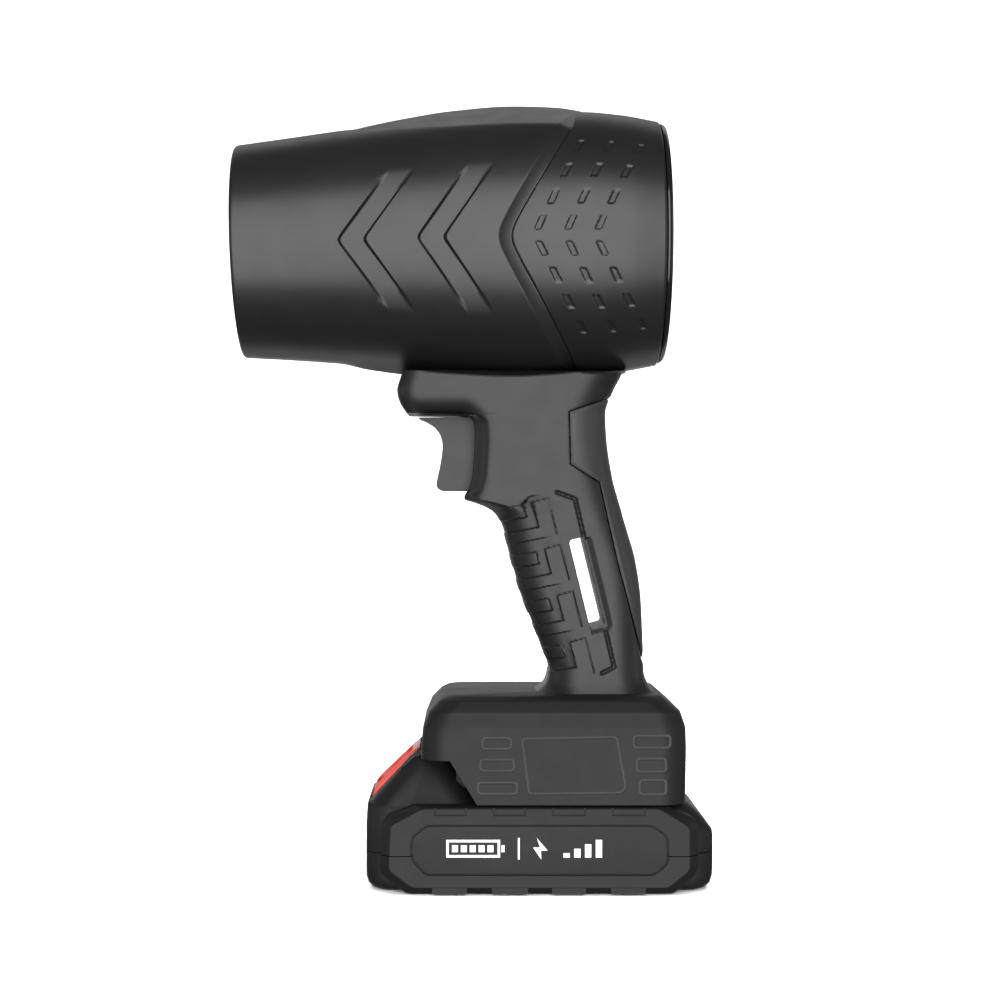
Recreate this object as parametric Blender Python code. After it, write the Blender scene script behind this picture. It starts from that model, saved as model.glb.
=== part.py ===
"""Cordless pistol-grip jet blower: round air barrel, trigger handle and a slide-on battery.

The outlet points to -X, the handle stands along Z, and the object is symmetric about Y = 0.
The origin is the middle of the battery's underside. Sizes below are millimetres; every mesh is
written in metres.
"""

import math

import bmesh
import bpy
from mathutils import Vector

MM = 0.001
GAP = 0.3  # clearance between pieces that touch

# Air barrel
OUTLET_X = -78.0
OUTLET_SLANT = -0.033
SHROUD_REAR_X = 60.6
SHELL_WALL = 2.6
STEP_DEPTH = 1.8
STEP_WIDTH = 4.2
AROUND_CREST = 8
AROUND_SIDE = 14
LEMON_START_X = -46.0
CREST_HALF = 27.0
KEEL_HALF = 18.0
VEE_APEX_X = 7.2
VEE_SLOPE = 0.59
VEE_TIP_X = 35.6
VEE_ROUNDING = 4.0
PATTERN_DROP = 2.3
# (x, height of the barrel's axis, side radius, crest height over axis, keel depth under axis)
BARREL_STATIONS = (
    (-80.0, 207.6, 35.0, 35.0, 35.0),
    (-62.0, 208.4, 36.7, 36.7, 36.7),
    (-46.0, 209.0, 38.4, 38.6, 39.0),
    (-25.0, 209.6, 40.6, 42.3, 42.6),
    (-8.0, 209.9, 42.3, 44.8, 44.6),
    (12.0, 210.1, 44.0, 46.2, 45.4),
    (27.0, 210.2, 44.6, 45.7, 44.5),
    (37.0, 210.2, 44.5, 44.2, 43.2),
)
# (x, radius) of the rear shroud
SHROUD_STATIONS = ((8.0, 41.6), (24.0, 43.0), (36.0, 43.5), (48.0, 42.5), (60.6, 40.3))
SHROUD_AXIS_Z = 210.2

# Fan and motor, all on the barrel's axis
FAN_Z = 209.8
DUCT_OUTER = 37.2
DUCT_INNER = 34.6
HUB_OUTER = 16.0
HUB_INNER = 14.2
STATOR_VANES = 9
FAN_BLADES = 7
FAN_RADIUS = 33.6
SHAFT_RADIUS = 1.6

# Handle: (z, front x, rear x, half width, corner radius)
HANDLE_STATIONS = (
    (54.0, 6.0, 68.0, 22.0, 12.0),
    (58.4, 14.5, 65.0, 21.0, 12.0),
    (61.8, 20.5, 59.5, 19.6, 12.0),
    (65.1, 23.5, 56.8, 18.4, 11.5),
    (68.4, 24.2, 55.8, 17.8, 11.0),
    (78.4, 21.2, 55.5, 17.2, 11.0),
    (91.8, 15.8, 54.9, 17.0, 11.0),
    (105.1, 11.8, 53.1, 17.0, 11.0),
    (118.4, 8.5, 49.4, 17.2, 11.0),
    (122.1, 5.5, 48.4, 17.4, 10.0),
    (124.1, 0.2, 47.8, 17.6, 9.0),
    (125.4, -3.4, 47.4, 17.7, 8.0),
    (127.5, -2.7, 46.8, 17.8, 8.0),
    (133.0, -0.8, 45.4, 18.2, 8.0),
    (144.8, 0.0, 43.6, 18.8, 8.0),
    (152.9, -1.0, 43.2, 19.0, 8.0),
    (153.3, -22.2, 43.2, 19.0, 8.0),
    (161.1, -25.6, 45.8, 19.2, 8.0),
    (165.6, -24.3, 48.2, 19.4, 8.0),
    (178.0, -24.0, 52.0, 19.6, 8.0),
)
# The neck's shoulders follow the barrel's keel, clear of its sloping facets
SHOULDER_OUTLINE = (
    (-40.0, 168.0), (-25.0, 166.6), (-8.0, 164.7), (12.0, 164.3), (27.0, 165.3), (37.0, 166.4),
    (70.0, 168.0), (70.0, 200.0), (-40.0, 200.0),
)
PALM_OUTLINE = (
    (44.5, 158.6), (30.8, 153.8), (31.2, 136.8), (40.8, 130.8),
    (46.5, 105.4), (55.2, 72.8), (57.5, 69.0), (70.0, 69.0), (70.0, 165.0),
)
PALM_SKIN = 2.2
SLOT_TOP = (33.4, 111.6)
SLOT_BOTTOM = (40.0, 84.6)
SLOT_WIDTH = 5.8
TRIGGER_MOUTH = (127.4, 152.8)
TRIGGER_HALF = 9.0
TRIGGER_TRAVEL = 6.0

# Foot of the handle: (z, front x, rear x, half width, corner radius)
FOOT_STATIONS = (
    (28.4, -17.0, 67.5, 35.0, 9.0),
    (46.0, -17.2, 67.8, 35.2, 9.0),
    (52.4, -16.6, 67.6, 35.1, 9.0),
    (57.4, -14.6, 66.0, 33.2, 8.5),
    (61.0, -11.2, 61.8, 30.4, 8.0),
    (62.2, -8.8, 60.4, 28.0, 7.0),
)
FOOT_FRONT_CUT = ((-40.0, 42.4), (-7.9, 42.4), (0.9, 28.2), (0.9, 20.0), (-40.0, 20.0))
RAIL_HALF = 17.6
FLANGE_HALF = 21.6
RAIL_TOP = 38.0

# Battery
CASE_SPLIT_Z = 12.4
CASE_TOP_Z = 27.9
CASE_FRONT_X = -34.9
CASE_REAR_X = 76.6
CASE_CORE_HALF = 31.0
CASE_SIDE_HALF = 37.0
SIDE_OUTLINE = (
    (-27.4, 8.0), (-19.8, 2.4), (61.2, 2.4), (68.1, 8.0),
    (68.1, 21.7), (58.5, CASE_TOP_Z - 0.2), (-16.7, CASE_TOP_Z - 0.2), (-26.8, 22.2),
)
SIDE_BEVEL = 2.4
LABEL_OUTLINE = (
    (-19.8, 12.0), (-15.4, 7.0), (56.8, 7.0), (60.9, 10.8),
    (60.6, 18.8), (55.9, 22.0), (-15.1, 22.0), (-19.8, 18.2),
)
CELL_RADIUS = 9.0
CELL_LENGTH = 65.0
CELL_PITCH = 18.7
CELL_COUNT = 5
CELL_MIDDLE_X = 21.3
CELL_Z = 12.4
LATCH_TRAVEL = 2.5
LATCH_HALF = 12.0


# ---------------------------------------------------------------- helpers


def material(name, colour, roughness, metallic=0.0):
    """The Principled material of this name, made once."""
    found = bpy.data.materials.get(name)
    if found:
        return found
    made = bpy.data.materials.new(name)
    made.use_nodes = True
    shader = made.node_tree.nodes["Principled BSDF"]
    shader.inputs["Base Color"].default_value = (*colour, 1.0)
    shader.inputs["Roughness"].default_value = roughness
    shader.inputs["Metallic"].default_value = metallic
    return made


def case_plastic():
    return material("case_plastic", (0.045, 0.045, 0.047), 0.48)


def grip_rubber():
    return material("grip_rubber", (0.03, 0.03, 0.031), 0.7)


def gloss_black():
    return material("gloss_black", (0.012, 0.012, 0.013), 0.18)


def dark_plastic():
    return material("dark_plastic", (0.025, 0.025, 0.026), 0.5)


def latch_red():
    return material("latch_red", (0.6, 0.03, 0.015), 0.35)


def fan_grey():
    return material("fan_grey", (0.16, 0.16, 0.17), 0.42)


def steel():
    return material("steel", (0.55, 0.55, 0.56), 0.3, 1.0)


def aluminium():
    return material("aluminium", (0.72, 0.72, 0.73), 0.35, 1.0)


def copper():
    return material("copper", (0.7, 0.3, 0.14), 0.35, 1.0)


def brass():
    return material("brass", (0.75, 0.56, 0.25), 0.3, 1.0)


def board_green():
    return material("board_green", (0.02, 0.12, 0.05), 0.45)


def cell_wrap():
    return material("cell_wrap", (0.08, 0.3, 0.42), 0.4)


def magnet_grey():
    return material("magnet_grey", (0.2, 0.2, 0.21), 0.4, 0.8)


def lead_colour(name, colour):
    return material(name, colour, 0.5)


def add_object(name, mesh, finish):
    obj = bpy.data.objects.new(name, mesh)
    bpy.context.scene.collection.objects.link(obj)
    if finish:
        mesh.materials.append(finish)
    return obj


def solid(name, points, faces, finish=None, origin=(0.0, 0.0, 0.0)):
    """A closed mesh from points in millimetres, with its faces turned outwards."""
    middle = Vector(origin)
    mesh = bpy.data.meshes.new(name)
    mesh.from_pydata([(Vector(point) - middle) * MM for point in points], [], faces)
    edit = bmesh.new()
    edit.from_mesh(mesh)
    bmesh.ops.remove_doubles(edit, verts=edit.verts, dist=1e-7)
    bmesh.ops.recalc_face_normals(edit, faces=edit.faces)
    if edit.calc_volume(signed=True) < 0:
        bmesh.ops.reverse_faces(edit, faces=edit.faces)
    edit.to_mesh(mesh)
    edit.free()
    obj = add_object(name, mesh, finish)
    obj.location = middle * MM
    return obj


def helper(obj):
    """Marks a cutter or a guide, which is no part of the object."""
    obj.hide_render = True
    obj.display_type = "WIRE"
    return obj


def boolean(obj, other, operation="DIFFERENCE"):
    step = obj.modifiers.new(other.name, "BOOLEAN")
    step.operation = operation
    step.object = other
    helper(other)
    return obj


def shade(obj, angle=35.0):
    obj.data.shade_smooth()
    obj.data.set_sharp_from_angle(angle=math.radians(angle))
    return obj


def loft(name, rings, finish=None, closed=False):
    """Skins rings of equal length. closed joins the last ring to the first, else both ends are capped."""
    count = len(rings[0])
    points = [point for ring in rings for point in ring]
    faces = []
    pairs = len(rings) if closed else len(rings) - 1
    for row in range(pairs):
        here = row * count
        there = (row + 1) % len(rings) * count
        for i in range(count):
            j = (i + 1) % count
            faces.append((here + i, here + j, there + j, there + i))
    if not closed:
        faces.append(tuple(range(count)))
        faces.append(tuple(range(len(points) - count, len(points))))
    return solid(name, points, faces, finish)


def prism(name, outline, half_width, finish=None, middle_y=0.0):
    """An (x, z) outline extruded along Y."""
    rings = [[(x, middle_y + side * half_width, z) for x, z in outline] for side in (-1, 1)]
    return loft(name, rings, finish)


def box(name, low, high, finish=None):
    outline = ((low[0], low[2]), (high[0], low[2]), (high[0], high[2]), (low[0], high[2]))
    return prism(name, outline, (high[1] - low[1]) / 2, finish, (high[1] + low[1]) / 2)


def turned(name, profile, finish=None, centre=(0.0, 0.0, 0.0), axis="X", segments=32):
    """A closed (along, radius) profile turned about an axis through centre."""
    points = []
    rows = []
    for along, radius in profile:
        steps = segments if radius > 1e-6 else 1
        row = []
        for i in range(steps):
            angle = 2 * math.pi * i / segments
            u = radius * math.cos(angle)
            v = radius * math.sin(angle)
            spot = {"X": (along, u, v), "Y": (v, along, u), "Z": (u, v, along)}[axis]
            row.append(len(points))
            points.append(tuple(a + b for a, b in zip(spot, centre)))
        rows.append(row)
    faces = []
    for first, second in zip(rows, rows[1:] + rows[:1]):
        faces += ring_faces(first, second, segments)
    return solid(name, points, faces, finish, centre)


def ring_faces(first, second, segments):
    """Faces between two rows of a turned shape; a row of one point is a pole."""
    faces = []
    for i in range(segments):
        j = (i + 1) % segments
        corners = (
            first[i % len(first)], first[j % len(first)],
            second[j % len(second)], second[i % len(second)],
        )
        face = tuple(dict.fromkeys(corners))
        if len(face) > 2:
            faces.append(face)
    return faces


def cylinder(name, radius, start, end, finish=None, centre=(0.0, 0.0, 0.0), axis="X", segments=20):
    profile = ((start, 0.0), (start, radius), (end, radius), (end, 0.0))
    return turned(name, profile, finish, centre, axis, segments)


def tube_cutter(name, outer, inner, start, end, centre, axis="X", segments=32):
    profile = ((start, inner), (start, outer), (end, outer), (end, inner))
    return turned(name, profile, None, centre, axis, segments)


def rounded_rectangle(front, rear, half, radius, z, per_corner=4):
    """A ring in plan at height z, anticlockwise from the rear right corner."""
    ring = []
    corners = (
        (rear - radius, half - radius, 0.0),
        (front + radius, half - radius, 90.0),
        (front + radius, radius - half, 180.0),
        (rear - radius, radius - half, 270.0),
    )
    for x, y, start in corners:
        for i in range(per_corner + 1):
            angle = math.radians(start + 90.0 * i / per_corner)
            ring.append((x + radius * math.cos(angle), y + radius * math.sin(angle), z))
    return ring


def between(stations, x, column):
    """The column's value at x, straight between stations and held past both ends."""
    if x <= stations[0][0]:
        return stations[0][column]
    for low, high in zip(stations, stations[1:]):
        if x <= high[0]:
            share = (x - low[0]) / (high[0] - low[0])
            return low[column] + share * (high[column] - low[column])
    return stations[-1][column]


def smooth_step(value):
    value = min(1.0, max(0.0, value))
    return value * value * (3.0 - 2.0 * value)


# ---------------------------------------------------------------- barrel


def lemon_share(x):
    return min(1.0, max(0.0, (x - LEMON_START_X) / (27.0 - LEMON_START_X)))


def crest_angles(x):
    """Half angles of the flat crest and keel facets at a station."""
    radius = between(BARREL_STATIONS, x, 2)
    share = max(0.07, lemon_share(x)) ** 0.28
    return math.asin(CREST_HALF * share / radius), math.asin(KEEL_HALF * share / radius)


def barrel_angles(x):
    """The angles of the points around the barrel, from the crest, the crease points among them."""
    crest, keel = crest_angles(x)
    angles = [crest * (2 * i / AROUND_CREST - 1) for i in range(AROUND_CREST)]
    angles += [crest + (math.pi - keel - crest) * i / AROUND_SIDE for i in range(AROUND_SIDE)]
    angles += [math.pi + keel * (2 * i / AROUND_CREST - 1) for i in range(AROUND_CREST)]
    start = math.pi + keel
    angles += [start + (math.pi - keel - crest) * i / AROUND_SIDE for i in range(AROUND_SIDE)]
    return angles


def facet_radius(angle, half_angle, radius, ridge):
    """Distance from the axis to the straight facet between a crease and the ridge."""
    y_crease = radius * math.sin(half_angle)
    h_crease = radius * math.cos(half_angle)
    slope = (ridge - h_crease) / y_crease
    return ridge / (math.cos(angle) + slope * abs(math.sin(angle)))


def barrel_radius(x, angle):
    """Distance from the axis to the front shell's outer face."""
    radius = between(BARREL_STATIONS, x, 2)
    crest, keel = crest_angles(x)
    folded = abs((angle + math.pi) % (2 * math.pi) - math.pi)
    share = smooth_step((x - LEMON_START_X) / 8.0)
    if folded < crest:
        flat = facet_radius(folded, crest, radius, between(BARREL_STATIONS, x, 3))
    elif math.pi - folded < keel:
        flat = facet_radius(math.pi - folded, keel, radius, between(BARREL_STATIONS, x, 4))
    else:
        return radius
    return radius + share * (flat - radius)


def vee_edge(angle):
    """The x of the front shell's rear edge, and the step's width, at an angle from the crest."""
    folded = abs((angle + math.pi) % (2 * math.pi) - math.pi)
    upper = folded < math.pi / 2
    limit = math.asin((CREST_HALF if upper else KEEL_HALF) / 44.6)
    from_pole = min(folded, math.pi - folded)
    share = min(1.0, math.sin(from_pole) / math.sin(limit))
    across = 44.0 * math.cos(max(from_pole, limit))
    height = across + PATTERN_DROP if upper else across - PATTERN_DROP
    crease = VEE_APEX_X + VEE_SLOPE * (math.hypot(height, VEE_ROUNDING) - VEE_ROUNDING)
    return VEE_TIP_X + share * (crease - VEE_TIP_X), STEP_WIDTH * share


def around(x, angle, radius, axis_z):
    return (x, radius * math.sin(angle), axis_z + radius * math.cos(angle))


def shell_ring(share, inset, grown=0.0):
    """A ring of the front shell, share 0 at the outlet and 1 at the rear edge."""
    ring = []
    for angle, end_angle in zip(barrel_angles(-60.0 + 90.0 * share), barrel_angles(30.0)):
        start = OUTLET_X + OUTLET_SLANT * 35.0 * math.cos(angle)
        end, _ = vee_edge(end_angle)
        x = start + share * (end - start)
        radius = barrel_radius(x, angle) - inset + grown
        ring.append(around(x, angle, radius, between(BARREL_STATIONS, x, 1)))
    return ring


def make_front_shell():
    stops = (0.0, 0.16, 0.3, 0.36, 0.5, 0.68, 0.86, 1.0)
    rings = [shell_ring(stop, 0.0) for stop in stops]
    lip = []
    inner_lip = []
    for angle in barrel_angles(30.0):
        end, width = vee_edge(angle)
        deep = STEP_DEPTH * width / STEP_WIDTH
        radius = barrel_radius(end, angle)
        axis_z = between(BARREL_STATIONS, end, 1)
        lip.append(around(end + width, angle, radius - deep - 0.02, axis_z))
        inner_lip.append(around(end + width, angle, 41.0 - SHELL_WALL, axis_z))
    rings += [lip, inner_lip]
    inner = [around_inner(stop) for stop in reversed(stops[:-1])]
    shell = loft("front_shell", rings + inner, case_plastic(), closed=True)
    hole = box("lead_hole", (0.0, -8.0, 160.0), (20.0, 8.0, 176.0))
    return shade(boolean(shell, hole), 25.0)


def around_inner(share):
    ring = []
    for angle in barrel_angles(-60.0 + 90.0 * share):
        start = OUTLET_X + OUTLET_SLANT * 35.0 * math.cos(angle)
        end, _ = vee_edge(angle)
        x = start + share * (end - start)
        radius = min(between(BARREL_STATIONS, x, 2) - SHELL_WALL, 41.0 - SHELL_WALL)
        ring.append(around(x, angle, radius, between(BARREL_STATIONS, x, 1)))
    return ring


def make_rear_shroud():
    angles = barrel_angles(30.0)
    stops = (0.0, 0.3, 0.6, 0.85, 1.0)
    outer = []
    inner = []
    for stop in stops:
        outer.append([shroud_point(stop, angle, 0.0) for angle in angles])
        inner.append([shroud_point(stop, angle, SHELL_WALL - 0.2) for angle in angles])
    shroud = loft("rear_shroud", outer + inner[::-1], case_plastic(), closed=True)
    return shade(shroud, 25.0)


def shroud_point(share, angle, inset):
    end, width = vee_edge(angle)
    start = end + width + GAP
    x = start + share * (SHROUD_REAR_X - start)
    radius = between(SHROUD_STATIONS, x, 1) - inset
    return around(x, angle, radius, SHROUD_AXIS_Z)


def make_intake_ring():
    profile = (
        (SHROUD_REAR_X + GAP, 35.4), (SHROUD_REAR_X + GAP, 39.6),
        (SHROUD_REAR_X + 1.6, 39.5), (SHROUD_REAR_X + 2.2, 38.8),
        (SHROUD_REAR_X + 2.2, 36.4), (SHROUD_REAR_X + 1.4, 35.4),
    )
    ring = turned("intake_ring", profile, gloss_black(), (0, 0, SHROUD_AXIS_Z), "X", 40)
    return shade(ring)


def polar_plate(name, radii, sectors, filled, start, end, centre, finish):
    """A flat plate made of polar cells; filled(i, j) says whether cell i, j holds material."""
    points = []
    for x in (start, end):
        for radius in radii:
            for j in range(sectors):
                angle = 2 * math.pi * j / sectors
                y = radius * math.sin(angle)
                z = radius * math.cos(angle)
                points.append((x, centre[1] + y, centre[2] + z))
    layer = len(radii) * sectors
    faces = []
    for i in range(len(radii) - 1):
        for j in range(sectors):
            if filled(i, j):
                faces += plate_cell(i, j, sectors, len(radii) - 1, layer, filled)
    return solid(name, points, faces, finish)


def plate_cell(i, j, sectors, rings, layer, filled):
    """The two faces of one cell, and a wall on each side that has no neighbour."""
    k = (j + 1) % sectors
    near_a = i * sectors + j
    near_b = i * sectors + k
    far_a = near_a + sectors
    far_b = near_b + sectors
    faces = [(near_a, near_b, far_b, far_a), tuple(c + layer for c in (near_a, near_b, far_b, far_a))]
    sides = (
        (i == 0 or not filled(i - 1, j), near_a, near_b),
        (i == rings - 1 or not filled(i + 1, j), far_a, far_b),
        (not filled(i, (j - 1) % sectors), near_a, far_a),
        (not filled(i, k), near_b, far_b),
    )
    for is_open, a, b in sides:
        if is_open:
            faces.append((a, b, b + layer, a + layer))
    return faces


def make_intake_grille():
    radii = (5.0, 9.0, 15.0, 17.0, 23.0, 25.0, 31.0, 35.0)
    rings = (0, 2, 4, 6)
    spokes = 8
    per_spoke = 5

    def filled(i, j):
        return i in rings or j % per_spoke == 0

    centre = (0.0, 0.0, SHROUD_AXIS_Z)
    start = SHROUD_REAR_X - 2.4
    return polar_plate(
        "intake_grille", radii, spokes * per_spoke, filled, start, start + 2.2, centre, dark_plastic()
    )


# ---------------------------------------------------------------- fan and motor


def vane(name, radius_in, radius_out, x_low, x_high, turn, sweep, thickness):
    """A twisted blade along a radius, its ends sunk in the hub and, for a vane, in the duct."""
    rings = []
    steps = 4
    for i in range(steps + 1):
        share = i / steps
        radius = radius_in + share * (radius_out - radius_in)
        lean = sweep * (1.0 - 0.35 * share)
        ring = []
        for along, side in ((0.0, -1), (0.5, -1), (1.0, -1), (1.0, 1), (0.5, 1), (0.0, 1)):
            x = x_low + along * (x_high - x_low)
            bend = math.tan(math.radians(lean)) * (along - 0.5) * (x_high - x_low)
            fat = thickness * (1.0 if along == 0.5 else 0.45) * side / 2
            angle = turn + (bend + fat) / radius
            ring.append((x, radius * math.sin(angle), FAN_Z + radius * math.cos(angle)))
        rings.append(ring)
    return helper(loft(name, rings))


def make_stator_duct():
    centre = (0.0, 0.0, FAN_Z)
    ring = ((-6.0, DUCT_INNER), (-6.0, DUCT_OUTER), (55.5, DUCT_OUTER), (55.5, DUCT_INNER))
    duct = turned("stator_duct", ring, fan_grey(), centre, "X", 40)
    hub = tube_cutter("duct_hub", HUB_OUTER, HUB_INNER, -10.0, 24.0, centre)
    boolean(duct, hub, "UNION")
    for i in range(STATOR_VANES):
        turn = 2 * math.pi * (i + 0.5) / STATOR_VANES
        blade = vane(f"vane_{i}", HUB_OUTER - 0.9, DUCT_INNER + 1.2, 2.0, 20.0, turn, -22.0, 1.8)
        boolean(duct, blade, "UNION")
    port = box("duct_port", (8.0, -5.0, 160.0), (16.0, 5.0, 200.0))
    return boolean(duct, port)


def make_motor():
    centre = (0.0, 0.0, FAN_Z)
    core = ((2.0, 7.2), (2.0, 13.8), (16.0, 13.8), (16.0, 7.2))
    turned("motor_core", core, steel(), centre, "X", 32)
    coil = ((-2.2, 8.4), (-2.2, 12.6), (1.7, 12.6), (1.7, 8.4))
    turned("motor_windings", coil, copper(), centre, "X", 24)
    plate = ((-9.7, 5.4), (-9.7, 13.9), (-5.6, 13.9), (-5.6, 5.4))
    turned("motor_end_plate", plate, aluminium(), centre, "X", 32)
    back = ((19.0, 5.4), (19.0, 13.9), (22.0, 13.9), (22.0, 5.4))
    turned("motor_rear_plate", back, aluminium(), centre, "X", 32)
    for name, start in (("front_bearing", -9.3), ("rear_bearing", 19.2)):
        race = ((start, SHAFT_RADIUS + 0.1), (start, 5.1), (start + 2.8, 5.1), (start + 2.8, SHAFT_RADIUS + 0.1))
        turned(name, race, steel(), centre, "X", 24)


def make_tail_cone():
    profile = [(-10.4, 0.0), (-10.4, 15.8)]
    steps = 6
    for i in range(1, steps):
        share = i / steps
        profile.append((-10.4 - 34.0 * share, 15.8 * math.sqrt(1.0 - share ** 1.7)))
    profile.append((-44.4, 0.0))
    return shade(turned("tail_cone", profile, fan_grey(), (0, 0, FAN_Z), "X", 32))


def make_rotor():
    centre = (0.0, 0.0, FAN_Z)
    cylinder("motor_shaft", SHAFT_RADIUS, -10.1, 47.0, steel(), centre, "X", 20)
    magnet = ((0.5, SHAFT_RADIUS + GAP), (0.5, 6.8), (17.5, 6.8), (17.5, SHAFT_RADIUS + GAP))
    turned("rotor_magnet", magnet, magnet_grey(), centre, "X", 24)
    make_impeller(centre)
    nut = ((43.0, SHAFT_RADIUS + GAP), (43.0, 6.0), (45.5, 6.0), (48.6, 4.2), (48.6, SHAFT_RADIUS + GAP))
    shade(turned("spinner_nut", nut, aluminium(), centre, "X", 24))


def make_impeller(centre):
    hub = (
        (26.0, SHAFT_RADIUS + GAP), (26.0, 15.6), (38.0, 15.6), (41.0, 14.0), (42.6, 10.0),
        (42.6, SHAFT_RADIUS + GAP),
    )
    fan = turned("impeller", hub, fan_grey(), centre, "X", 32)
    for i in range(FAN_BLADES):
        turn = 2 * math.pi * i / FAN_BLADES
        blade = vane(f"blade_{i}", 14.4, FAN_RADIUS, 27.0, 37.5, turn, 48.0, 2.0)
        boolean(fan, blade, "UNION")
    return fan


# ---------------------------------------------------------------- handle


def handle_rings(inset):
    rings = []
    for z, front, rear, half, radius in HANDLE_STATIONS:
        corner = max(2.0, radius - inset)
        rings.append(rounded_rectangle(front + inset, rear - inset, half - inset, corner, z))
    return rings


def slanted_slot(name, width, half_width, spare=0.0):
    """The strap slot: a round-ended slot along the grip's lean."""
    low = Vector(SLOT_BOTTOM)
    high = Vector(SLOT_TOP)
    along = (high - low).normalized()
    across = Vector((along.y, -along.x))
    outline = []
    for end, sign in ((high, 1), (low, -1)):
        for side in (-1, 1):
            reach = along * sign * spare
            corner = end + reach + across * side * sign * width / 2
            outline.append((corner.x, corner.y))
    return prism(name, outline, half_width)


def barrel_envelope():
    """The barrel's outer form grown by the gap, which the neck is cut to."""
    rings = []
    for x in (-60.0, -46.0, -25.0, -8.0, 12.0, 27.0, 37.0, 48.0, 60.0):
        ring = []
        for angle in barrel_angles(30.0):
            if x <= 27.0:
                radius = barrel_radius(x, angle)
            else:
                radius = between(SHROUD_STATIONS, x, 1) + 0.8
            ring.append(around(x, angle, radius + GAP, between(BARREL_STATIONS, x, 1)))
        rings.append(ring)
    return loft("barrel_envelope", rings)


def make_cavities():
    """Hollows of the clamshell: (name, outline or box, half width)."""
    neck = ((-8.0, 156.5), (-8.0, 175.0), (34.5, 175.0), (34.5, 156.0), (38.6, 150.0), (39.4, 128.0),
            (13.8, 128.0), (13.8, 156.5))
    front = ((13.5, 126.5), (16.5, 106.0), (22.0, 88.0), (31.0, 88.0), (29.4, 104.0), (26.4, 118.0), (27.5, 126.5))
    rear = ((37.8, 134.0), (38.4, 118.0), (41.0, 105.0), (45.0, 86.0), (45.6, 56.0),
            (51.4, 56.0), (51.6, 86.0), (49.4, 105.0), (45.2, 118.0), (41.6, 128.0), (40.4, 134.0))
    foot = ((-2.0, 40.6), (59.0, 40.6), (59.0, 55.0), (56.0, 58.0), (2.0, 58.0), (-2.0, 54.0))
    cutters = [
        prism("neck_hollow", neck, 14.5),
        prism("front_hollow", front, 13.0),
        prism("rear_hollow", rear, 9.0),
        prism("foot_hollow", foot, 27.0),
        box("trigger_mouth", (-40.0, -TRIGGER_HALF - 0.6, TRIGGER_MOUTH[0]),
            (14.2, TRIGGER_HALF + 0.6, TRIGGER_MOUTH[1])),
        box("rail_channel", (-40.0, -RAIL_HALF - 0.5, 20.0), (68.0, RAIL_HALF + 0.5, 32.0)),
        box("flange_channel", (-40.0, -FLANGE_HALF - 0.5, 31.6), (68.0, FLANGE_HALF + 0.5, RAIL_TOP + 0.5)),
        box("contact_window", (38.0, -15.0, 36.0), (58.0, 15.0, 42.0)),
        prism("foot_front_cut", FOOT_FRONT_CUT, 60.0),
        slanted_slot("strap_slot", SLOT_WIDTH, 60.0, 1.0),
    ]
    for side in (-1, 1):
        cutters.append(prism(f"shoulder_{side}", SHOULDER_OUTLINE, 20.0, None, side * 25.5))
    return cutters


def handle_body(name, finish=None):
    """The whole handle before it is parted: grip and foot joined, the palm skin's bed sunk."""
    body = loft(name, handle_rings(0.0), finish)
    boolean(body, prism(f"{name}_palm_bed", PALM_OUTLINE, 60.0))
    boolean(body, loft(f"{name}_core", handle_rings(PALM_SKIN)), "UNION")
    foot_rings = [
        rounded_rectangle(front, rear, half, radius, z) for z, front, rear, half, radius in FOOT_STATIONS
    ]
    boolean(body, loft(f"{name}_foot", foot_rings), "UNION")
    return body


HANDLE_SCREWS = ((-15.5, 160.0), (40.6, 161.5), (35.5, 76.0), (-8.5, 50.0), (64.5, 48.0))


def make_handle():
    cutters = make_cavities()
    envelope = barrel_envelope()
    holes = []
    for i, (x, z) in enumerate(HANDLE_SCREWS):
        holes.append(screw_hole(f"screw_hole_{i}", x, z, screw_head_y(i)))
    for name, side in (("handle_left", -1), ("handle_right", 1)):
        half = handle_body(name, case_plastic())
        boolean(half, envelope)
        for cutter in cutters + holes:
            boolean(half, cutter)
        far = side * -100.0
        near = side * GAP / 2
        part = box(f"{name}_parting", (-100.0, min(far, near), 0.0), (100.0, max(far, near), 200.0))
        boolean(half, part)
        shade(half, 30.0)


def screw_head_y(i):
    return (15.5, 15.5, 12.5, 30.0, 30.0)[i]


def screw_hole(name, x, z, head_y):
    profile = ((-8.0, 0.0), (-8.0, 1.5), (head_y - 2.6, 1.5), (head_y - 2.6, 3.3), (60.0, 3.3), (60.0, 0.0))
    return turned(name, profile, None, (x, 0.0, z), "Y", 16)


def make_handle_screws():
    for i, (x, z) in enumerate(HANDLE_SCREWS):
        head_y = screw_head_y(i)
        profile = (
            (-7.0, 0.0), (-7.0, 1.1), (head_y - 2.2, 1.1), (head_y - 2.2, 2.9), (head_y, 2.7),
            (head_y, 1.2), (head_y - 1.2, 1.0), (head_y - 1.2, 0.0),
        )
        turned(f"handle_screw_{i + 1}", profile, steel(), (x, 0.0, z), "Y", 12)


def make_palm_grip():
    palm = loft("palm_grip", handle_rings(0.0), grip_rubber())
    inside = offset_outline(PALM_OUTLINE, -GAP - 0.05)
    boolean(palm, prism("palm_region", inside, 60.0), "INTERSECT")
    boolean(palm, loft("palm_core", handle_rings(PALM_SKIN - GAP)))
    return shade(palm)


# ---------------------------------------------------------------- trigger and switch


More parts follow.
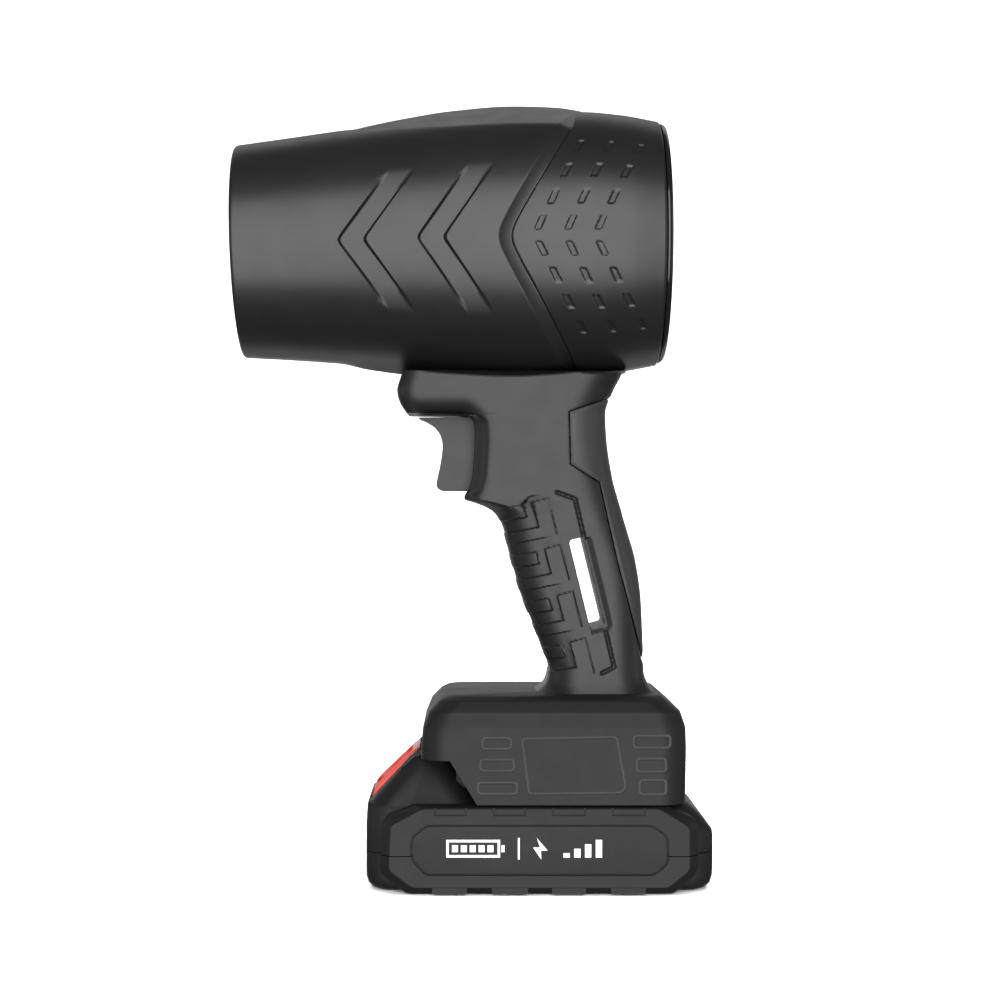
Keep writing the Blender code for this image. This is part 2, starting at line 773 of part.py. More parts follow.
def make_trigger():
    outline = [(-19.2, 152.4), (-16.0, 150.4), (-13.0, 147.8), (-11.2, 145.0), (-10.7, 142.0),
               (-11.0, 139.1), (-12.9, 130.8), (-12.7, 128.8), (-10.8, 127.8), (4.8, 127.8), (4.8, 152.4)]
    trigger = prism("trigger", outline, TRIGGER_HALF, case_plastic())
    bevel = trigger.modifiers.new("edge", "BEVEL")
    bevel.width = 1.4 * MM
    bevel.segments = 2
    bevel.limit_method = "ANGLE"
    bevel.angle_limit = math.radians(60)
    cylinder("switch_plunger", 2.4, 5.1, 17.0, dark_plastic(), (0, 0, 139.0), "X", 16)
    coil_spring("trigger_spring", (5.3, 0.0, 139.0), (1, 0, 0), 9.4, 4.2, 4.5, steel())


def coil_spring(name, start, along, length, radius, turns, finish):
    """A round-wire compression spring, its turns worked out along a helix."""
    steps = 12
    sides = 5
    wire = 0.35
    axis = Vector(along)
    side_a = Vector((0.0, 1.0, 0.0))
    side_b = axis.cross(side_a)
    rings = []
    count = int(turns * steps)
    for i in range(count + 1):
        angle = 2 * math.pi * i / steps
        out = side_a * math.cos(angle) + side_b * math.sin(angle)
        middle = Vector(start) + axis * (wire + (length - 2 * wire) * i / count) + out * radius
        ring = []
        for j in range(sides):
            turn = 2 * math.pi * j / sides
            ring.append(tuple(middle + (out * math.cos(turn) + axis * math.sin(turn)) * wire))
        rings.append(ring)
    return loft(name, rings, finish)


def make_switch():
    body = box("switch_body", (15.2, -8.0, 129.0), (33.2, 8.0, 148.0), dark_plastic())
    boolean(body, cylinder("plunger_bore", 2.8, 10.0, 24.5, None, (0, 0, 139.0), "X", 16))


# ---------------------------------------------------------------- electronics in the foot


def make_electronics():
    box("control_board", (2.0, -22.0, 46.0), (36.0, 22.0, 47.6), board_green())
    sink = box("heat_sink", (6.0, -16.0, 47.9), (22.0, 16.0, 53.6), aluminium())
    for i in range(4):
        y = -12.0 + 8.0 * i
        boolean(sink, box(f"fin_gap_{i}", (0.0, y - 1.6, 49.6), (30.0, y + 1.6, 60.0)))
    cylinder("capacitor", 4.0, 47.9, 56.0, dark_plastic(), (30.5, 12.0, 0.0), "Z", 20)
    block = box("terminal_block", (40.0, -14.0, 41.0), (56.0, 14.0, 47.0), dark_plastic())
    for i, y in enumerate((-8.0, 8.0)):
        boolean(block, box(f"blade_slot_{i}", (43.0, y - 0.7, 30.0), (53.0, y + 0.7, 45.5)))
    for name, y in (("contact_blade_negative", -8.0), ("contact_blade_positive", 8.0)):
        box(name, (43.5, y - 0.4, 33.0), (52.5, y + 0.4, 45.2), brass())


def lead(name, route, radius, finish):
    """An insulated lead along a smooth curve through its route's points."""
    curve = bpy.data.curves.new(name, "CURVE")
    curve.dimensions = "3D"
    curve.bevel_depth = radius * MM
    curve.bevel_resolution = 1
    curve.use_fill_caps = True
    dense = smooth_route(route)
    spline = curve.splines.new("POLY")
    spline.points.add(len(dense) - 1)
    for spot, point in zip(spline.points, dense):
        spot.co = (*(point * MM), 1.0)
    return add_object(name, curve, finish)


def smooth_route(route, per_span=2):
    """Points on a Catmull-Rom curve through the route."""
    spots = [Vector(point) for point in route]
    spots = [2 * spots[0] - spots[1]] + spots + [2 * spots[-1] - spots[-2]]
    dense = []
    for a, b, c, d in zip(spots, spots[1:], spots[2:], spots[3:]):
        for i in range(per_span):
            t = i / per_span
            dense.append(0.5 * (2 * b + (c - a) * t + (2 * a - 5 * b + 4 * c - d) * t ** 2
                                + (3 * b - a - 3 * c + d) * t ** 3))
    dense.append(spots[-2])
    return dense


def make_leads():
    colours = (("lead_blue", (0.03, 0.08, 0.4)), ("lead_yellow", (0.7, 0.5, 0.04)), ("lead_green", (0.03, 0.3, 0.08)))
    for i, (name, colour) in enumerate(colours):
        y = (i - 1) * 3.0
        route = ((37.6, y, 50.0), (43.0, y, 51.5), (48.2, y, 57.0), (48.6, y, 70.0), (48.2, y, 86.0),
                 (45.4, y, 104.0), (41.8, y, 118.0), (38.4, y, 130.0), (37.0, y, 140.0),
                 (33.0, y, 152.5), (22.0, y, 157.5), (13.5, y, 163.0), (12.0, y, 168.0), (12.0, y, 182.0),
                 (12.0, y, 193.2))
        lead(f"phase_lead_{i + 1}", route, 0.9, lead_colour(name, colour))
    ends = (("battery_lead_red", 8.0, (0.5, 0.02, 0.02)), ("battery_lead_black", -8.0, (0.01, 0.01, 0.01)))
    for name, y, colour in ends:
        route = ((48.0, y, 47.5), (47.5, y, 50.5), (43.0, y, 52.5), (38.0, y, 51.0), (34.0, y, 49.8), (33.6, y, 48.2))
        lead(name, route, 1.0, lead_colour(f"{name}_jacket", colour))


# ---------------------------------------------------------------- battery


def offset_outline(outline, amount):
    """The outline moved outwards by amount on each side, corners mitred."""
    spots = [Vector(point) for point in outline]
    moved = []
    for before, here, after in zip(spots[-1:] + spots[:-1], spots, spots[1:] + spots[:1]):
        first = (here - before).normalized()
        second = (after - here).normalized()
        normal = Vector((first.y + second.y, -first.x - second.x)).normalized()
        reach = amount / max(0.3, normal.dot(Vector((first.y, -first.x))))
        moved.append(tuple(here + normal * reach))
    return moved


def case_form(name, finish=None):
    """The battery's outer form: a core, the eight-sided cheeks, the latch housing and the rail."""
    core = [
        rounded_rectangle(-33.2, 74.8, 29.0, 7.0, 0.2),
        rounded_rectangle(CASE_FRONT_X, CASE_REAR_X - 0.2, CASE_CORE_HALF, 8.0, 4.0),
        rounded_rectangle(CASE_FRONT_X, CASE_REAR_X, CASE_CORE_HALF, 8.0, 19.2),
        rounded_rectangle(CASE_FRONT_X + 0.2, 72.8, 29.5, 8.0, CASE_TOP_Z - 3.6),
        rounded_rectangle(CASE_FRONT_X + 0.4, 68.0, 28.0, 7.0, CASE_TOP_Z),
    ]
    form = loft(name, core, finish)
    wide = offset_outline(SIDE_OUTLINE, SIDE_BEVEL)
    low = min(z for _, z in wide)
    wide = [(x, min(max(z, low), CASE_TOP_Z)) for x, z in wide]
    cheek = []
    for y, outline in ((-CASE_SIDE_HALF, SIDE_OUTLINE), (-34.0, wide), (34.0, wide), (CASE_SIDE_HALF, SIDE_OUTLINE)):
        cheek.append([(x, y, z) for x, z in outline])
    boolean(form, loft(f"{name}_cheeks", cheek), "UNION")
    return form


def latch_housing(name):
    rings = [
        rounded_rectangle(CASE_FRONT_X + 0.2, 4.0, 29.0, 8.0, 24.0),
        rounded_rectangle(CASE_FRONT_X + 0.5, 1.2, 28.4, 8.0, 27.0),
        rounded_rectangle(-20.6, -9.2, 19.6, 5.6, 41.9),
    ]
    housing = loft(name, rings)
    crest = ((-24.2, 38.0), (-17.75, 38.0), (-17.75, 44.3), (-18.1, 44.3))
    return boolean(housing, prism(f"{name}_crest", crest, 17.6), "UNION")


def battery_cutters():
    hollow = ((-25.5, 8.4), (-20.5, 3.0), (62.0, 3.0), (68.1, 8.4), (68.1, 17.0), (63.0, 22.2), (-20.5, 22.2), (-25.5, 17.0))
    cutters = [
        prism("cell_hollow", hollow, 33.2),
        box("board_hollow", (-8.0, -24.0, 22.0), (60.0, 24.0, 25.6)),
        box("latch_pocket", (-33.9, -LATCH_HALF - 0.4, 23.6), (-9.9, LATCH_HALF + 0.4, 60.0)),
    ]
    for i, y in enumerate((-8.0, 8.0)):
        cutters.append(box(f"clip_slot_{i}", (38.0, y - 2.0, 30.6), (70.0, y + 2.0, 45.0)))
    for i, y in enumerate((-1, 1)):
        start = CASE_SIDE_HALF - 0.7
        cutters.append(prism(f"label_bed_{i}", offset_outline(LABEL_OUTLINE, 0.35), 5.0, None, y * (start + 5.0)))
    return cutters


BATTERY_SCREWS = ((-30.0, -20.0), (-30.0, 20.0), (71.6, -20.0), (71.6, 20.0))


def make_battery_case():
    cutters = battery_cutters()
    for i, (x, y) in enumerate(BATTERY_SCREWS):
        profile = ((-1.0, 0.0), (-1.0, 3.2), (3.2, 3.2), (3.2, 1.5), (18.0, 1.5), (18.0, 0.0))
        cutters.append(turned(f"case_screw_hole_{i}", profile, None, (x, y, 0.0), "Z", 16))
    lower = case_form("battery_lower_case", case_plastic())
    boolean(lower, box("above_split", (-100, -60, CASE_SPLIT_Z - 0.05), (100, 60, 90)))
    upper = case_form("battery_upper_case", case_plastic())
    boolean(upper, latch_housing("latch_housing"), "UNION")
    rail = box("case_rail", (-6.0, -RAIL_HALF, 24.0), (66.0, RAIL_HALF, 33.0))
    flange = box("case_flange", (-6.0, -FLANGE_HALF, 32.2), (66.0, FLANGE_HALF, RAIL_TOP))
    boolean(upper, rail, "UNION")
    boolean(upper, flange, "UNION")
    boolean(upper, box("below_split", (-100, -60, -20), (100, 60, CASE_SPLIT_Z + 0.25)))
    for half in (lower, upper):
        for cutter in cutters:
            boolean(half, cutter)
        shade(half, 30.0)


def make_battery_screws():
    for i, (x, y) in enumerate(BATTERY_SCREWS):
        profile = ((0.6, 0.0), (0.6, 2.8), (2.8, 2.8), (2.8, 1.1), (17.0, 1.1), (17.0, 0.0))
        turned(f"battery_screw_{i + 1}", profile, steel(), (x, y, 0.0), "Z", 12)


def make_labels():
    for name, side in (("battery_label_left", -1), ("battery_label_right", 1)):
        middle = side * (CASE_SIDE_HALF - 0.25)
        prism(name, LABEL_OUTLINE, 0.2, dark_plastic(), middle)


def make_cells():
    for i in range(CELL_COUNT):
        x = CELL_MIDDLE_X + CELL_PITCH * (i - (CELL_COUNT - 1) / 2)
        half = CELL_LENGTH / 2
        profile = (
            (-half, 0.0), (-half, CELL_RADIUS - 0.6), (-half + 0.6, CELL_RADIUS), (half - 1.6, CELL_RADIUS),
            (half - 1.0, CELL_RADIUS - 0.7), (half - 1.0, 3.0), (half, 3.0), (half, 0.0),
        )
        shade(turned(f"cell_{i + 1}", profile, cell_wrap(), (x, 0.0, CELL_Z), "Y", 20))


def make_battery_inside():
    box("battery_board", (-6.0, -20.0, 22.4), (58.0, 20.0, 23.6), board_green())
    for name, side in (("cell_strip_left", -1), ("cell_strip_right", 1)):
        y = side * 32.95
        box(name, (-18.0, y - 0.1, 10.0), (61.0, y + 0.1, 15.0), steel())
    for name, y in (("battery_clip_negative", -8.0), ("battery_clip_positive", 8.0)):
        clip = box(name, (42.0, y - 1.6, 31.0), (56.0, y + 1.6, 37.0), brass())
        boolean(clip, box(f"{name}_gap", (30.0, y - 0.9, 31.6), (80.0, y + 0.9, 60.0)))


def make_latch():
    outline = ((-33.5, 26.4), (-33.5, 29.4), (-19.4, 43.9), (-18.9, 44.2), (-18.1, 44.4), (-18.1, 41.4), (-14.4, 41.4),
               (-14.4, 42.0), (-10.3, 42.0), (-10.3, 31.0), (-22.0, 31.0), (-25.0, 26.4))
    latch = prism("latch_button", outline, LATCH_HALF, latch_red())
    scoop = ((-31.0, 34.0), (-25.9, 37.6), (-22.3, 41.0), (-30.0, 44.0), (-40.0, 34.0))
    boolean(latch, prism("latch_scoop", scoop, LATCH_HALF - 2.0))
    coil_spring("latch_spring", (-16.0, 0.0, 23.8), (0, 0, 1), 7.0, 3.0, 3.5, steel())


# ---------------------------------------------------------------- assembly


def clear_scene():
    for obj in list(bpy.data.objects):
        bpy.data.objects.remove(obj, do_unlink=True)


def build():
    clear_scene()
    make_front_shell()
    make_rear_shroud()
    make_intake_ring()
    make_intake_grille()
    make_stator_duct()
    make_motor()
    make_tail_cone()
    make_rotor()
    make_handle()
    make_handle_screws()
    make_palm_grip()
    make_trigger()
    make_switch()
    make_electronics()
    make_leads()
    make_battery_case()
    make_battery_screws()
    make_labels()
    make_cells()
    make_battery_inside()
    make_latch()


build()
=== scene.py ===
"""Looks of the cordless jet blower: fine shells, surface detail, materials, light and camera."""

import math

import bmesh
import bpy
import numpy as np
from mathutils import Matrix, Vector


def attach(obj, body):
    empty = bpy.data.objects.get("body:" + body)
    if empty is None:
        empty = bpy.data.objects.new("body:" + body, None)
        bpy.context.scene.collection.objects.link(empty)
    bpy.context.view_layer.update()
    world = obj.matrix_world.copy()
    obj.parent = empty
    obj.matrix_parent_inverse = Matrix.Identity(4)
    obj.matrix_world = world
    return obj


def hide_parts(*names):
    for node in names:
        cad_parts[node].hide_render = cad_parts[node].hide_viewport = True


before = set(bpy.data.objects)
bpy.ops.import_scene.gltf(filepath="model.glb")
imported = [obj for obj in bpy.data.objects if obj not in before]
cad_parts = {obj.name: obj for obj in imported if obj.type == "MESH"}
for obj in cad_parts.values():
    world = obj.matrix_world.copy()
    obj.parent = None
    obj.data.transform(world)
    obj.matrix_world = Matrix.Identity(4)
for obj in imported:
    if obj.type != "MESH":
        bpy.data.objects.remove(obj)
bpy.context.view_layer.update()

MM = 0.001

# ---------------------------------------------------------------- materials


GRAIN_HEIGHT = 0.0001
CLOUD_DETAIL = 4.0
RAMP_ENDS = (0.3, 0.7)


def node_material(name, colour, roughness, metallic=0.0, specular=0.5):
    """A Principled material with its uniform numbers on the shader's own sockets."""
    made = bpy.data.materials.new(name)
    made.use_nodes = True
    shader = made.node_tree.nodes["Principled BSDF"]
    shader.inputs["Base Color"].default_value = (*colour, 1.0)
    shader.inputs["Roughness"].default_value = roughness
    shader.inputs["Metallic"].default_value = metallic
    shader.inputs["Specular IOR Level"].default_value = specular
    return made.node_tree, shader, made


def noise(tree, scale, detail, stretch=(1.0, 1.0, 1.0)):
    """A noise factor over the object's own coordinates."""
    place = tree.nodes.new("ShaderNodeTexCoord")
    mapping = tree.nodes.new("ShaderNodeMapping")
    mapping.inputs["Scale"].default_value = stretch
    grain = tree.nodes.new("ShaderNodeTexNoise")
    grain.inputs["Scale"].default_value = scale
    grain.inputs["Detail"].default_value = detail
    tree.links.new(place.outputs["Object"], mapping.inputs["Vector"])
    tree.links.new(mapping.outputs["Vector"], grain.inputs["Vector"])
    return grain.outputs["Fac"]


def drive(tree, socket, source, low, high):
    """Drives a socket between two colours by a noise factor."""
    steps = tree.nodes.new("ShaderNodeValToRGB")
    for stop, position, value in zip(steps.color_ramp.elements, RAMP_ENDS, (low, high)):
        stop.position = position
        stop.color = value
    tree.links.new(source, steps.inputs["Fac"])
    tree.links.new(steps.outputs["Color"], socket)


def relief(tree, shader, source, strength):
    """Raises the surface by a noise factor."""
    bump = tree.nodes.new("ShaderNodeBump")
    bump.inputs["Strength"].default_value = strength
    bump.inputs["Distance"].default_value = GRAIN_HEIGHT
    tree.links.new(source, bump.inputs["Height"])
    tree.links.new(bump.outputs["Normal"], shader.inputs["Normal"])


def grey(value):
    return (value, value, value, 1.0)


def scaled(colour, factor):
    return tuple(min(1.0, channel * factor) for channel in colour) + (1.0,)


def grained(name, colour, roughness, grain_scale=2600.0, bump=0.05, spread=0.03, drift=0.1, **more):
    """Moulded or sprayed surface: cloudy colour, uneven roughness and a fine grain in relief."""
    tree, shader, made = node_material(name, colour, roughness, **more)
    cloud = noise(tree, 38.0, CLOUD_DETAIL)
    drive(tree, shader.inputs["Base Color"], cloud, scaled(colour, 1.0 - drift), scaled(colour, 1.0 + drift))
    smudge = noise(tree, 120.0, 5.0)
    drive(tree, shader.inputs["Roughness"], smudge, grey(roughness - spread), grey(roughness + spread))
    relief(tree, shader, noise(tree, grain_scale, 2.0), bump)
    return made


def brushed(name, colour, roughness, stretch, bump=0.08):
    """Metal with fine parallel lines across the stretched axis."""
    tree, shader, made = node_material(name, colour, roughness, metallic=1.0)
    lines = noise(tree, 900.0, CLOUD_DETAIL, stretch)
    drive(tree, shader.inputs["Roughness"], lines, grey(roughness - 0.1), grey(roughness + 0.12))
    cloud = noise(tree, 90.0, CLOUD_DETAIL)
    drive(tree, shader.inputs["Base Color"], cloud, scaled(colour, 0.86), scaled(colour, 1.0))
    relief(tree, shader, lines, bump)
    return made


CASE = grained("case_plastic_fine", (0.010, 0.010, 0.0105), 0.36, drift=0.035)
BODY = grained("case_plastic_body", (0.0085, 0.0085, 0.009), 0.48, drift=0.035, specular=0.44)
GLOSS = grained("gloss_black_fine", (0.008, 0.008, 0.009), 0.14, bump=0.01, spread=0.03)
RUBBER = grained("grip_rubber_fine", (0.022, 0.022, 0.023), 0.56, 1900.0, 0.09)
RED = grained("latch_red_fine", (0.62, 0.032, 0.012), 0.34, bump=0.03)
FAN = grained("fan_nylon_fine", (0.05, 0.05, 0.053), 0.44, 1500.0, 0.08)
STEEL = brushed("steel_fine", (0.56, 0.56, 0.57), 0.3, (1.0, 12.0, 1.0))
ALUMINIUM = brushed("aluminium_fine", (0.74, 0.74, 0.75), 0.34, (12.0, 1.0, 1.0))
COPPER = brushed("copper_fine", (0.72, 0.3, 0.14), 0.34, (20.0, 1.0, 1.0), 0.3)
BRASS = brushed("brass_fine", (0.78, 0.58, 0.26), 0.28, (1.0, 1.0, 14.0))
MAGNET = brushed("magnet_fine", (0.3, 0.3, 0.31), 0.38, (1.0, 8.0, 8.0))
BOARD = grained("board_fine", (0.015, 0.11, 0.045), 0.36, 900.0, 0.06, drift=0.25)
WRAP = grained("cell_wrap_fine", (0.05, 0.26, 0.4), 0.3, 700.0, 0.05)
PACK = grained("case_plastic_pack", (0.0085, 0.0085, 0.009), 0.56, drift=0.035, specular=0.26)
WHITE = grained("white_film", (0.78, 0.78, 0.78), 0.4, 2400.0, 0.02, drift=0.03)
LEAD_COLOURS = {
    "phase_lead_1": (0.03, 0.08, 0.4), "phase_lead_2": (0.7, 0.5, 0.04), "phase_lead_3": (0.03, 0.3, 0.08),
    "battery_lead_red": (0.5, 0.02, 0.02), "battery_lead_black": (0.012, 0.012, 0.012),
}

# ---------------------------------------------------------------- mesh helpers


def mesh_piece(name, points, faces, finish, body=None, replaced=(), sharp=32.0):
    """A smooth-shaded mesh piece from points in millimetres, riding on its body."""
    mesh = bpy.data.meshes.new(name)
    mesh.from_pydata([tuple(c * MM for c in point) for point in points], [], faces)
    edit = bmesh.new()
    edit.from_mesh(mesh)
    bmesh.ops.remove_doubles(edit, verts=edit.verts, dist=1e-7)
    bmesh.ops.recalc_face_normals(edit, faces=edit.faces)
    if edit.calc_volume(signed=True) < 0:
        bmesh.ops.reverse_faces(edit, faces=edit.faces)
    edit.to_mesh(mesh)
    edit.free()
    mesh.shade_smooth()
    mesh.set_sharp_from_angle(angle=math.radians(sharp))
    obj = bpy.data.objects.new(name, mesh)
    bpy.context.scene.collection.objects.link(obj)
    if finish:
        mesh.materials.append(finish)
    if body:
        settle(obj, body, replaced)
    return obj


def settle(obj, body, replaced=()):
    """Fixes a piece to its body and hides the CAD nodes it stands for."""
    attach(obj, body)
    if replaced:
        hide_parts(*replaced)
    return obj


def skin(rings, closed=False):
    """Faces that join equal rings of points; closed joins last to first, otherwise the ends are capped."""
    count = len(rings[0])
    points = [tuple(point) for ring in rings for point in ring]
    faces = []
    pairs = len(rings) if closed else len(rings) - 1
    for row in range(pairs):
        here = row * count
        there = (row + 1) % len(rings) * count
        for i in range(count):
            j = (i + 1) % count
            faces.append((here + i, here + j, there + j, there + i))
    if not closed:
        faces.append(tuple(range(count)))
        faces.append(tuple(range(len(points) - count, len(points))))
    return points, faces


def lofted(name, rings, finish=None, body=None, slot=None, replaced=(), closed=False, sharp=32.0):
    points, faces = skin(rings, closed)
    return mesh_piece(name, points, faces, finish, body, replaced, sharp)


def prism(name, outline, half_width, middle_y=0.0, finish=None, **more):
    """An (x, z) outline carried across Y."""
    rings = [[(x, middle_y + side * half_width, z) for x, z in outline] for side in (-1, 1)]
    return lofted(name, rings, finish, **more)


def box(name, low, high, finish=None, **more):
    """A box between two corners."""
    outline = ((low[0], low[2]), (high[0], low[2]), (high[0], high[2]), (low[0], high[2]))
    return prism(name, outline, (high[1] - low[1]) / 2, (high[1] + low[1]) / 2, finish, **more)


def turned(name, profile, centre, axis="X", segments=96, finish=None, sharp=32.0, **more):
    """A closed (along, radius) profile turned about an axis through centre."""
    rings = []
    for i in range(segments):
        angle = 2 * math.pi * i / segments
        ring = []
        for along, radius in profile:
            u = max(radius, 0.0) * math.cos(angle)
            v = max(radius, 0.0) * math.sin(angle)
            spot = {"X": (along, u, v), "Y": (v, along, u), "Z": (u, v, along)}[axis]
            ring.append(tuple(a + b for a, b in zip(spot, centre)))
        rings.append(ring)
    return lofted(name, rings, finish, closed=True, sharp=sharp, **more)


def cut(obj, cutters, operation="DIFFERENCE", sharp=32.0):
    """Cuts obj by each cutter, applies the result and removes the cutters."""
    for cutter in cutters:
        step = obj.modifiers.new("cut", "BOOLEAN")
        step.operation = operation
        step.solver = "MANIFOLD"
        step.material_mode = "TRANSFER"
        step.object = cutter
    bpy.context.view_layer.update()
    graph = bpy.context.evaluated_depsgraph_get()
    mesh = bpy.data.meshes.new_from_object(obj.evaluated_get(graph), depsgraph=graph)
    obj.modifiers.clear()
    obj.data = mesh
    for cutter in cutters:
        bpy.data.objects.remove(cutter, do_unlink=True)
    mesh.shade_smooth()
    mesh.set_sharp_from_angle(angle=math.radians(sharp))
    return obj


def rounded_outline(outline, radius, steps=5):
    """A closed (x, z) outline with its corners replaced by arcs of about the radius."""
    spots = [Vector(point) for point in outline]
    result = []
    for before, here, after in zip(spots[-1:] + spots[:-1], spots, spots[1:] + spots[:1]):
        reach_in = min(radius, (here - before).length * 0.45)
        reach_out = min(radius, (after - here).length * 0.45)
        start = here + (before - here).normalized() * reach_in
        end = here + (after - here).normalized() * reach_out
        for i in range(steps + 1):
            t = i / steps
            result.append(tuple((1 - t) ** 2 * start + 2 * t * (1 - t) * here + t * t * end))
    return result


def offset_outline(outline, amount):
    """The outline moved outwards by amount on each side, corners mitred; points run anticlockwise."""
    spots = [Vector(point) for point in outline]
    moved = []
    for before, here, after in zip(spots[-1:] + spots[:-1], spots, spots[1:] + spots[:1]):
        first = (here - before).normalized()
        second = (after - here).normalized()
        normal = Vector((first.y + second.y, -first.x - second.x)).normalized()
        reach = amount / max(0.3, normal.dot(Vector((first.y, -first.x))))
        moved.append(tuple(here + normal * reach))
    return moved


def smooth(value):
    value = np.clip(value, 0.0, 1.0)
    return value * value * (3.0 - 2.0 * value)


def curve_through(stations, column, at):
    """A smooth curve through a column of stations that never overshoots, read at the given places."""
    x = np.array([row[0] for row in stations])
    y = np.array([row[column] for row in stations])
    gaps = np.diff(x)
    slopes = np.diff(y) / gaps
    tangents = np.zeros_like(y)
    same = slopes[:-1] * slopes[1:] > 0
    mean = 2 * slopes[:-1] * slopes[1:] / np.where(same, slopes[:-1] + slopes[1:], 1.0)
    tangents[1:-1] = np.where(same, mean, 0.0)
    tangents[0] = slopes[0]
    tangents[-1] = slopes[-1]
    at = np.clip(at, x[0], x[-1])
    i = np.clip(np.searchsorted(x, at) - 1, 0, len(gaps) - 1)
    t = (at - x[i]) / gaps[i]
    h00 = 2 * t ** 3 - 3 * t ** 2 + 1
    h10 = t ** 3 - 2 * t ** 2 + t
    h01 = 3 * t ** 2 - 2 * t ** 3
    h11 = t ** 3 - t ** 2
    return h00 * y[i] + h10 * gaps[i] * tangents[i] + h01 * y[i + 1] + h11 * gaps[i] * tangents[i + 1]


def distance_to_line(x, z, points, closed=False):
    """Distance from each (x, z) to a polyline."""
    best = np.full(x.shape, 1e9)
    ends = list(zip(points, points[1:] + points[:1])) if closed else list(zip(points, points[1:]))
    for (ax, az), (bx, bz) in ends:
        run = (bx - ax) ** 2 + (bz - az) ** 2
        t = np.clip(((x - ax) * (bx - ax) + (z - az) * (bz - az)) / run, 0.0, 1.0)
        best = np.minimum(best, np.hypot(x - ax - t * (bx - ax), z - az - t * (bz - az)))
    return best


def signed_distance(x, z, outline):
    """Distance to a closed outline, negative inside it."""
    inside = np.zeros(x.shape, bool)
    for (ax, az), (bx, bz) in zip(outline, outline[1:] + outline[:1]):
        crosses = (az > z) != (bz > z)
        with np.errstate(divide="ignore", invalid="ignore"):
            at = (bx - ax) * (z - az) / (bz - az if bz != az else 1e-9) + ax
        inside ^= crosses & (x < at)
    away = distance_to_line(x, z, outline, closed=True)
    return np.where(inside, -away, away)


def sunk(x, z, outline, edge):
    """1 inside the outline and 0 outside it, with a soft edge of the given width."""
    return smooth(0.5 - signed_distance(x, z, outline) / edge)


def line_groove(x, z, points, width):
    """1 on a polyline and 0 beyond half the width of a round-bottomed groove."""
    return smooth(1.0 - distance_to_line(x, z, points) / (width / 2))


# ---------------------------------------------------------------- barrel

OUTLET_X = -78.0
OUTLET_SLANT = -0.033
SHROUD_REAR_X = 60.6
SHROUD_AXIS_Z = 210.2
SHELL_WALL = 2.6
STEP_DEPTH = 1.8
STEP_WIDTH = 4.2
LEMON_START_X = -46.0
CREST_HALF = 27.0
KEEL_HALF = 18.0
VEE_APEX_X = 7.2
VEE_SLOPE = 0.59
VEE_TIP_X = 35.6
VEE_ROUNDING = 4.0
PATTERN_DROP = 2.3
AROUND_CREST = 24
AROUND_SIDE = 76
# (x, axis height, side radius, crest height over axis, keel depth under axis)
BARREL_STATIONS = (
    (-80.0, 207.6, 35.0, 35.0, 35.0),
    (-62.0, 208.4, 36.7, 36.7, 36.7),
    (-46.0, 209.0, 38.4, 38.6, 39.0),
    (-25.0, 209.6, 40.6, 42.3, 42.6),
    (-8.0, 209.9, 42.3, 44.8, 44.6),
    (12.0, 210.1, 44.0, 46.2, 45.4),
    (27.0, 210.2, 44.6, 45.7, 44.5),
    (37.0, 210.2, 44.5, 44.2, 43.2),
)
SHROUD_STATIONS = ((8.0, 41.6), (24.0, 43.0), (36.0, 43.5), (48.0, 42.5), (60.6, 40.3))
# Chevrons: (outer apex x, inner apex x)
CHEVRONS = ((-43.4, -35.0), (-18.1, -9.7))
CHEVRON_SLOPE = 0.67
CHEVRON_REACH = 24.0
CHEVRON_DEPTH = 1.7
CHEVRON_WALL = 0.9


def axis_height(x):
    return curve_through(BARREL_STATIONS, 1, x)


def side_radius(x):
    return curve_through(BARREL_STATIONS, 2, x)


def shroud_radius(x):
    return curve_through(SHROUD_STATIONS, 1, x)


def fold(angle):
    """Angle from the crest, 0 to pi on either side."""
    return np.abs((angle + math.pi) % (2 * math.pi) - math.pi)


def crest_angles(x):
    """Angles from crest and from keel to the creases of the facets there."""
    radius = side_radius(x)
    share = np.clip((x - LEMON_START_X) / (27.0 - LEMON_START_X), 0.012, 1.0) ** 0.28
    return np.arcsin(CREST_HALF * share / radius), np.arcsin(KEEL_HALF * share / radius)


def barrel_angle(slots, x):
    """The angle of each slot around the barrel at stations x, the creases always on a slot."""
    crest, keel = crest_angles(x)
    side = math.pi - keel - crest
    c, s = AROUND_CREST, AROUND_SIDE
    angle = np.where(slots < c, crest * (2 * slots / c - 1), 0.0)
    angle = np.where((slots >= c) & (slots < c + s), crest + side * (slots - c) / s, angle)
    keel_slots = (slots >= c + s) & (slots < 2 * c + s)
    angle = np.where(keel_slots, math.pi + keel * (2 * (slots - c - s) / c - 1), angle)
    return np.where(slots >= 2 * c + s, math.pi + keel + side * (slots - 2 * c - s) / s, angle)


def barrel_radius(x, angle):
    """Radius of the front shell, with its facets along crest and keel."""
    radius = side_radius(x)
    crest, keel = crest_angles(x)
    folded = fold(angle)
    share = smooth((x - LEMON_START_X) / 10.0)
    flat = radius.copy()
    for near, half, column in ((folded, crest, 3), (math.pi - folded, keel, 4)):
        ridge = curve_through(BARREL_STATIONS, column, x)
        y_crease = radius * np.sin(half)
        slope = (ridge - radius * np.cos(half)) / y_crease
        facet = ridge / (np.cos(near) + slope * np.abs(np.sin(near)))
        flat = np.where(near < half, facet, flat)
    return radius + share * (flat - radius)


def pattern_height(angle):
    """Height over the pattern's own middle line, from the angle round the barrel."""
    return 44.0 * np.cos(angle) + PATTERN_DROP


